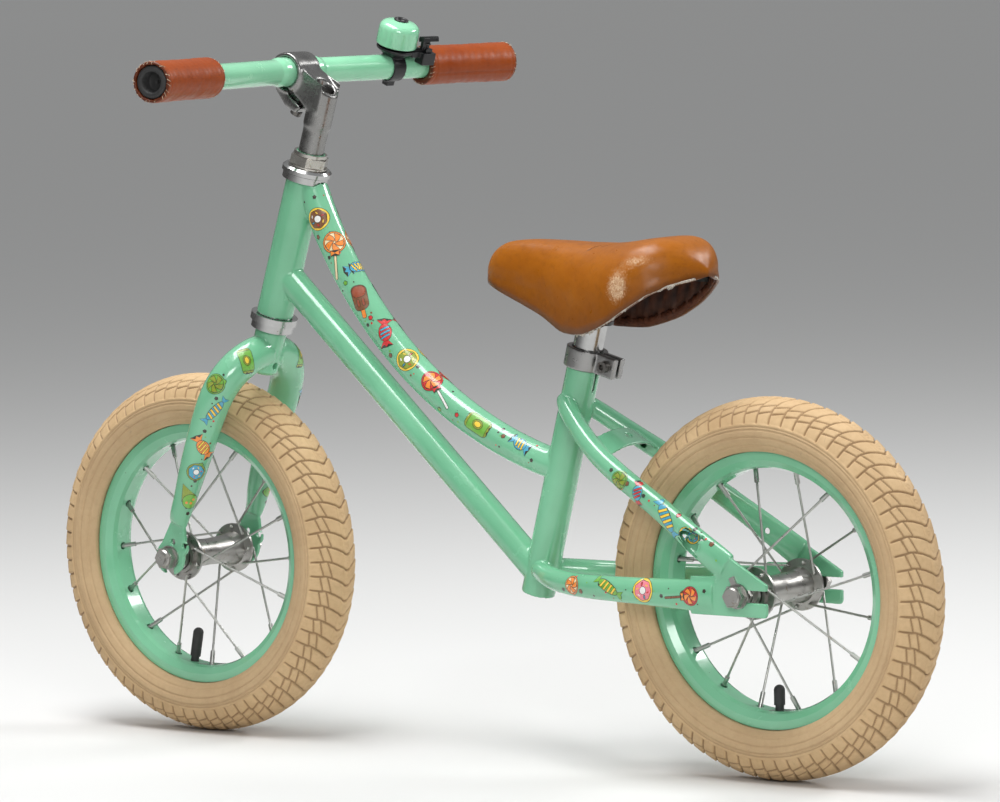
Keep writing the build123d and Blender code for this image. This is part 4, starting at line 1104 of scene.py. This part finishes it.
def soften(new_name, names, body, material, voxel, passes=6, extra=()):
    """Cast, moulded or welded CAD nodes as one piece with its hard edges and joints rounded off."""
    verts, faces = [], []
    for name in names:
        mesh = NODES[name].data
        join(verts, faces, [tuple(v.co) for v in mesh.vertices], [p.vertices for p in mesh.polygons])
    for more, more_faces in extra:
        join(verts, faces, [tuple(Vector(v) * MM) for v in more], more_faces)
    piece = remeshed(new_name, verts, faces, material, voxel, passes)
    return ride(piece, body, names)


def block(centre, size, axes, turn=0.0):
    """A box at a place in some axes, turned about the second of them: for joining into a moulding."""
    verts = []
    for corner in range(8):
        x, y, z = (size[k] * (0.5 if corner >> k & 1 else -0.5) for k in range(3))
        x, z = x * math.cos(turn) + z * math.sin(turn), z * math.cos(turn) - x * math.sin(turn)
        local = (centre[0] + x, centre[1] + y, centre[2] + z)
        verts.append(axes[0] + axes[1] * local[0] + axes[2] * local[1] + axes[3] * local[2])
    return verts, [(0, 2, 3, 1), (4, 5, 7, 6), (0, 1, 5, 4), (2, 6, 7, 3), (0, 4, 6, 2), (1, 3, 7, 5)]


def leg_core(side):
    """A tapered rod inside a fork leg, which covers a hole that softening opens in the leg's outer wall."""
    line = [(5.6, 44.5, 155, 13.4), (8.6, 47.8, 131, 13.5), (11.0, 48.6, 99, 13.15)]
    line += [(12.6, 49.2, 72, 11.75), (13.4, 49.8, 52, 9.4)]
    verts = []
    for x, y, t, r in line:
        for a in np.linspace(0, TAU, 65)[:-1]:
            verts.append(steer_to_world(x + r * math.cos(a), side * (y + r * math.sin(a)), t))
    return verts, strip_faces(len(line), 64, flip=side > 0)


def crown_filler(side):
    """A disc that closes the slit between a fork leg's top and the steerer."""
    verts = []
    for y in (4.6, 16.5):
        for a in np.linspace(0, TAU, 49)[:-1]:
            verts.append(steer_to_world(13.4 * math.cos(a), side * y, 186.6 + 13.4 * math.sin(a)))
    return verts, strip_faces(2, 48, flip=side < 0)


def bell_axes():
    """The bell's foot on the bar's centre line, with its axes: forward, along the bar, and up the bell."""
    level = Vector((math.cos(BAR_SWEEP), -math.sin(BAR_SWEEP), 0))
    tilt = math.radians(20)
    forward = level * math.cos(tilt) + Vector((0, 0, 1)) * math.sin(tilt)
    upward = Vector((0, 0, 1)) * math.cos(tilt) - level * math.sin(tilt)
    return bar_frame(-111.0)[0], forward, upward.cross(forward), upward


def turned_piece(name, profile, axes, material, node, segments=128):
    """A closed ring of radii and heights turned about the bell's own axis."""
    points = []
    for k in range(segments):
        turn = TAU * k / segments
        out = axes[1] * math.cos(turn) + axes[2] * math.sin(turn)
        points += [tuple(axes[0] + out * r + axes[3] * h) for r, h in profile]
    faces = grid_faces(segments, len(profile), wrap_rows=True, wrap_columns=True)
    piece = add_mesh(name, points, faces, [material])
    return ride(piece, "handlebar", [node])


def make_dome(paint_material, screw_material):
    """The bell's spun dome, with its broad rounded shoulder, and the capped screw in a dished centre."""
    axes = bell_axes()
    shell = [(17.9, 20.9), (18.0, 21.6), (17.9, 32.0)]
    last = math.pi / 2 - 0.12
    shell += [(11.2 + 6.6 * math.cos(a), 34.6 + 6.6 * math.sin(a)) for a in np.linspace(0, last, 14)]
    shell += [(9.0, 42.2), (6.0, 42.9), (5.0, 43.0), (4.6, 42.4), (5.4, 41.9), (9.0, 41.2), (11.4, 40.3)]
    shell += [(11.0 + 5.9 * math.cos(a), 34.4 + 5.9 * math.sin(a)) for a in np.linspace(last, 0, 12)]
    shell += [(16.9, 32.0), (16.9, 21.2), (17.2, 20.8)]
    turned_piece("bell_dome_spun", shell[::-1], axes, paint_material, "bell_dome")
    dish = [(0.02, 41.0), (2.0, 41.1), (3.6, 41.6), (4.4, 43.0), (4.9, 43.9), (5.6, 44.2), (6.3, 43.8)]
    cap = dish + [(6.5, 43.1), (6.2, 42.95), (4.2, 41.0), (4.0, 27.0), (3.8, 26.4), (0.02, 26.4)]
    turned_piece("bell_screw_cap", cap, axes, screw_material, "bell_screw")


def make_lever(material):
    """The bell's thumb lever: a ribbed plate on a slim neck, with its striker arm under the dome."""
    axes = bell_axes()
    px, py = -15.0, -23.0
    slant = 0.3
    parts = [block((px, py, 29.6), (7.2, 17.0, 3.2), axes, slant)]
    parts.append(block((px + 1.2, py + 2.0, 24.6), (3.2, 8.0, 9.0), axes))
    for k in range(8):
        parts.append(block((px + 0.5, py - 7.6 + 2.17 * k, 31.6), (6.8, 1.1, 1.9), axes, slant))
    parts.append(block((px, py, 20.4), (7.0, 7.0, 3.0), axes))
    parts.append(block((px + 4.6, py + 6.6, 20.0), (3.2, 15.0, 1.8), axes))
    parts.append(block((px + 7.9, py + 12.1, 23.0), (3.4, 3.4, 8.0), axes))
    verts, faces = [], []
    for part in parts:
        join(verts, faces, *part)
    piece = remeshed("bell_lever_moulded", [tuple(v * MM) for v in verts], faces, material, 0.3, 2)
    ride(piece, "bell_lever", ["bell_lever"])


def piece_tree(piece):
    """A piece's surface, to drop points on."""
    mesh = piece.data
    return BVHTree.FromPolygons([v.co for v in mesh.vertices], [p.vertices for p in mesh.polygons])


# ---- the studio ----
def area_light(name, place, target, size, power):
    data = bpy.data.lights.new(name, "AREA")
    data.shape = "RECTANGLE"
    data.size, data.size_y = size
    data.energy = power
    lamp = bpy.data.objects.new(name, data)
    bpy.context.scene.collection.objects.link(lamp)
    lamp.location = place
    lamp.rotation_euler = (Vector(target) - Vector(place)).to_track_quat("-Z", "Y").to_euler()


def make_studio():
    scene = bpy.context.scene
    world = bpy.data.worlds.new("studio")
    world.use_nodes = True
    tree = world.node_tree
    background = tree.nodes["Background"]
    place = tree.nodes.new("ShaderNodeTexCoord")
    split = tree.nodes.new("ShaderNodeSeparateXYZ")
    ramp = tree.nodes.new("ShaderNodeValToRGB")
    tree.links.new(place.outputs["Generated"], split.inputs[0])
    tree.links.new(split.outputs["Z"], ramp.inputs["Fac"])
    ramp.color_ramp.elements[0].position = 0.02
    ramp.color_ramp.elements[0].color = (0.20, 0.195, 0.19, 1)
    ramp.color_ramp.elements[1].position = 0.7
    ramp.color_ramp.elements[1].color = (0.90, 0.91, 0.92, 1)
    tree.links.new(ramp.outputs["Color"], background.inputs["Color"])
    background.inputs["Strength"].default_value = 0.48
    scene.world = world
    area_light("overhead", (0.3, 0.4, 2.6), (0, 0, 0.2), (2.2, 1.0), 70)
    area_light("left_fill", (-2.2, 2.6, 1.5), (0, 0, 0.3), (1.3, 0.9), 40)
    area_light("rear_strip", (-1.6, -2.2, 1.9), (0, 0, 0.3), (1.4, 0.5), 34)
    finish = Finish("floor_paper", roughness=0.85, specular=0.2)
    tone = finish.blotch((0.05, 1), 0.3, 0.7)
    finish.colour(finish.mix(tone, (0.690, 0.690, 0.682), (0.700, 0.700, 0.692)))
    span = 60000.0
    drop = -0.6
    corners = [(-span, -span, drop), (span, -span, drop), (span, span, drop), (-span, span, drop)]
    floor = add_mesh("floor", corners, [(0, 1, 2, 3)], [finish.material], smooth=False)
    scene.view_settings.view_transform = "Standard"


def make_camera():
    """The viewpoint: behind the bike's left side, a little above the handlebar, from about five metres."""
    yaw, pitch, roll = math.radians(37.66), math.radians(4.94), math.radians(-1.31)
    back = Vector((-math.sin(yaw) * math.cos(pitch), math.cos(yaw) * math.cos(pitch), math.sin(pitch)))
    place = Vector((-22.87, 0, 300.54)) + back * 4868.98
    right = (-back).cross(Vector((0, 0, 1))).normalized()
    up = right.cross(-back)
    side = right * math.cos(roll) + up * math.sin(roll)
    head = -right * math.sin(roll) + up * math.cos(roll)
    data = bpy.data.cameras.new("camera")
    data.sensor_width = 36.0
    data.lens = 208.66
    data.clip_end = 250.0
    camera = bpy.data.objects.new("camera", data)
    bpy.context.scene.collection.objects.link(camera)
    turn = Matrix((side, head, back)).transposed().to_4x4()
    camera.matrix_world = Matrix.Translation(place * MM) @ turn
    bpy.context.scene.camera = camera


# ---- everything together ----
def both_sides(*parts):
    return [part + side for part in parts for side in ("_left", "_right")]


def both_ends(*parts):
    return [end + part for part in parts for end in ("front_", "rear_")]


def main():
    mint = paint("mint_paint", (0.165, 0.480, 0.275), (0.140, 0.420, 0.240), (0.205, 0.545, 0.330))
    # A lighter copy of the mint paint for the handlebar and bell dome: painted light on the top of the bike,
    # where the overhead lamp falls.
    mint_lit_copy = paint("mint_paint_lit_copy", (0.235, 0.590, 0.360), (0.200, 0.530, 0.320), (0.270, 0.640, 0.400))
    chrome = metal("chrome_plate", (0.50, 0.50, 0.495), 0.15, rust=0.15, pits=0.1, grime=(0.30, 0.22, 0.16))
    rusty = metal("worn_chrome", (0.56, 0.54, 0.50), 0.2, rust=0.3, pits=0.3, grime=(0.27, 0.18, 0.10))
    cast_grime = (0.19, 0.185, 0.175)
    alloy = metal("cast_alloy", (0.29, 0.287, 0.28), 0.24, brushed=0.08, pits=0.25, grime=cast_grime)
    satin = metal("satin_alloy", (0.36, 0.355, 0.35), 0.3, pits=0.15, grime=(0.27, 0.26, 0.25))
    steel = metal("dark_steel", (0.20, 0.19, 0.18), 0.42, rust=0.5, pits=0.4, grime=(0.09, 0.05, 0.03))
    spoke = metal("zinc_spoke", (0.48, 0.48, 0.46), 0.3, rust=0.3, pits=0.2, grime=(0.30, 0.22, 0.15))
    zinc = metal("zinc_plate", (0.42, 0.41, 0.39), 0.3, rust=0.4, pits=0.35, grime=(0.25, 0.19, 0.13))
    rubber = plastic("black_rubber", (0.022, 0.022, 0.022), 0.6)
    black = plastic("black_plastic", (0.008, 0.008, 0.009), 0.36)
    cover = leather("saddle_leather", (0.050, 0.013, 0.001), (0.285, 0.080, 0.001), (0.37, 0.112, 0.002))
    reds = ((0.045, 0.009, 0.002), (0.235, 0.037, 0.002), (0.29, 0.052, 0.003))
    grip = leather("grip_leather", *reds, wear_and_painted_highlight=(0.52, 0.20, 0.07), gloss=0.42)
    hem = hem_lining("hem_backing", (0.060, 0.015, 0.006), (0.120, 0.034, 0.012))
    fray = cloth_like("torn_backing", (0.20, 0.16, 0.12), (0.60, 0.56, 0.50))
    thread = cloth_like("stitch_thread", (0.30, 0.17, 0.08), (0.78, 0.66, 0.50), 1400)
    inks = {
        "white": (0.83, 0.83, 0.80),
        "cream": (0.85, 0.70, 0.42),
        "yellow": (0.88, 0.60, 0.06),
        "orange": (0.86, 0.26, 0.04),
        "red": (0.62, 0.03, 0.03),
        "pink": (0.82, 0.22, 0.28),
        "green": (0.16, 0.42, 0.05),
        "brown": (0.20, 0.08, 0.03),
        "dark": (0.035, 0.03, 0.02),
        "olive": (0.25, 0.32, 0.03),
        "blue": (0.06, 0.36, 0.52),
        "rust": (0.30, 0.07, 0.03),
    }
    inks = {name: print_ink("ink_" + name, colour) for name, colour in inks.items()}

    tubes = ["head_tube", "seat_tube", "top_tube", "down_tube", "stay_bridge"]
    tubes += both_sides("seat_stay", "chain_stay", "rear_dropout")
    legs = ["steerer"] + both_sides("fork_leg", "front_dropout")
    finishes = {
        mint: tubes + legs[1:] + ["front_rim", "rear_rim"],
        mint_lit_copy: ["bell_dome", "handlebar"],
        chrome: ["seat_post", "headset_cups", "headset_races"],
        rusty: ["headset_nuts"],
        alloy: ["stem"],
        satin: ["seat_clamp"],
        steel: ["stem_bolts", "stem_wedge", "seat_clamp_bolt", "headset_balls", "bell_spring"]
        + both_ends("hub_balls"),
        spoke: both_ends("spokes", "nipples"),
        zinc: both_ends("axle", "cones", "axle_nuts", "hub"),
        rubber: ["bar_plugs"] + both_ends("inner_tube", "valve"),
        black: ["bell_base", "bell_screw", "bell_lever", "saddle_clamp", "saddle_shell"],
    }
    for material, names in finishes.items():
        for name in names:
            mesh = NODES[name].data
            mesh.materials.clear()
            mesh.materials.append(material)

    make_tyres(tyre_rubber())
    saddle_cover(cover, hem, fray)
    for side in (1, -1):
        make_grip(side, grip, thread, rubber)
    welded_frame = soften("frame_welded", tubes, "frame", mint, 0.9, 5)
    crown = []
    for side in (1, -1):
        crown += [crown_filler(side), leg_core(side)]
    welded_fork = soften("fork_welded", legs, "fork", mint, 0.8, 5, crown)
    make_prints(inks, piece_tree(welded_frame), piece_tree(welded_fork))
    soften("stem_cast", ["stem"], "stem", alloy, 0.8, 34)
    soften("seat_clamp_cast", ["seat_clamp"], "frame", satin, 0.6)
    soften("bell_base_moulded", ["bell_base"], "handlebar", black, 0.5, 12)
    make_lever(black)
    make_dome(mint_lit_copy, black)
    make_studio()
    make_camera()


main()
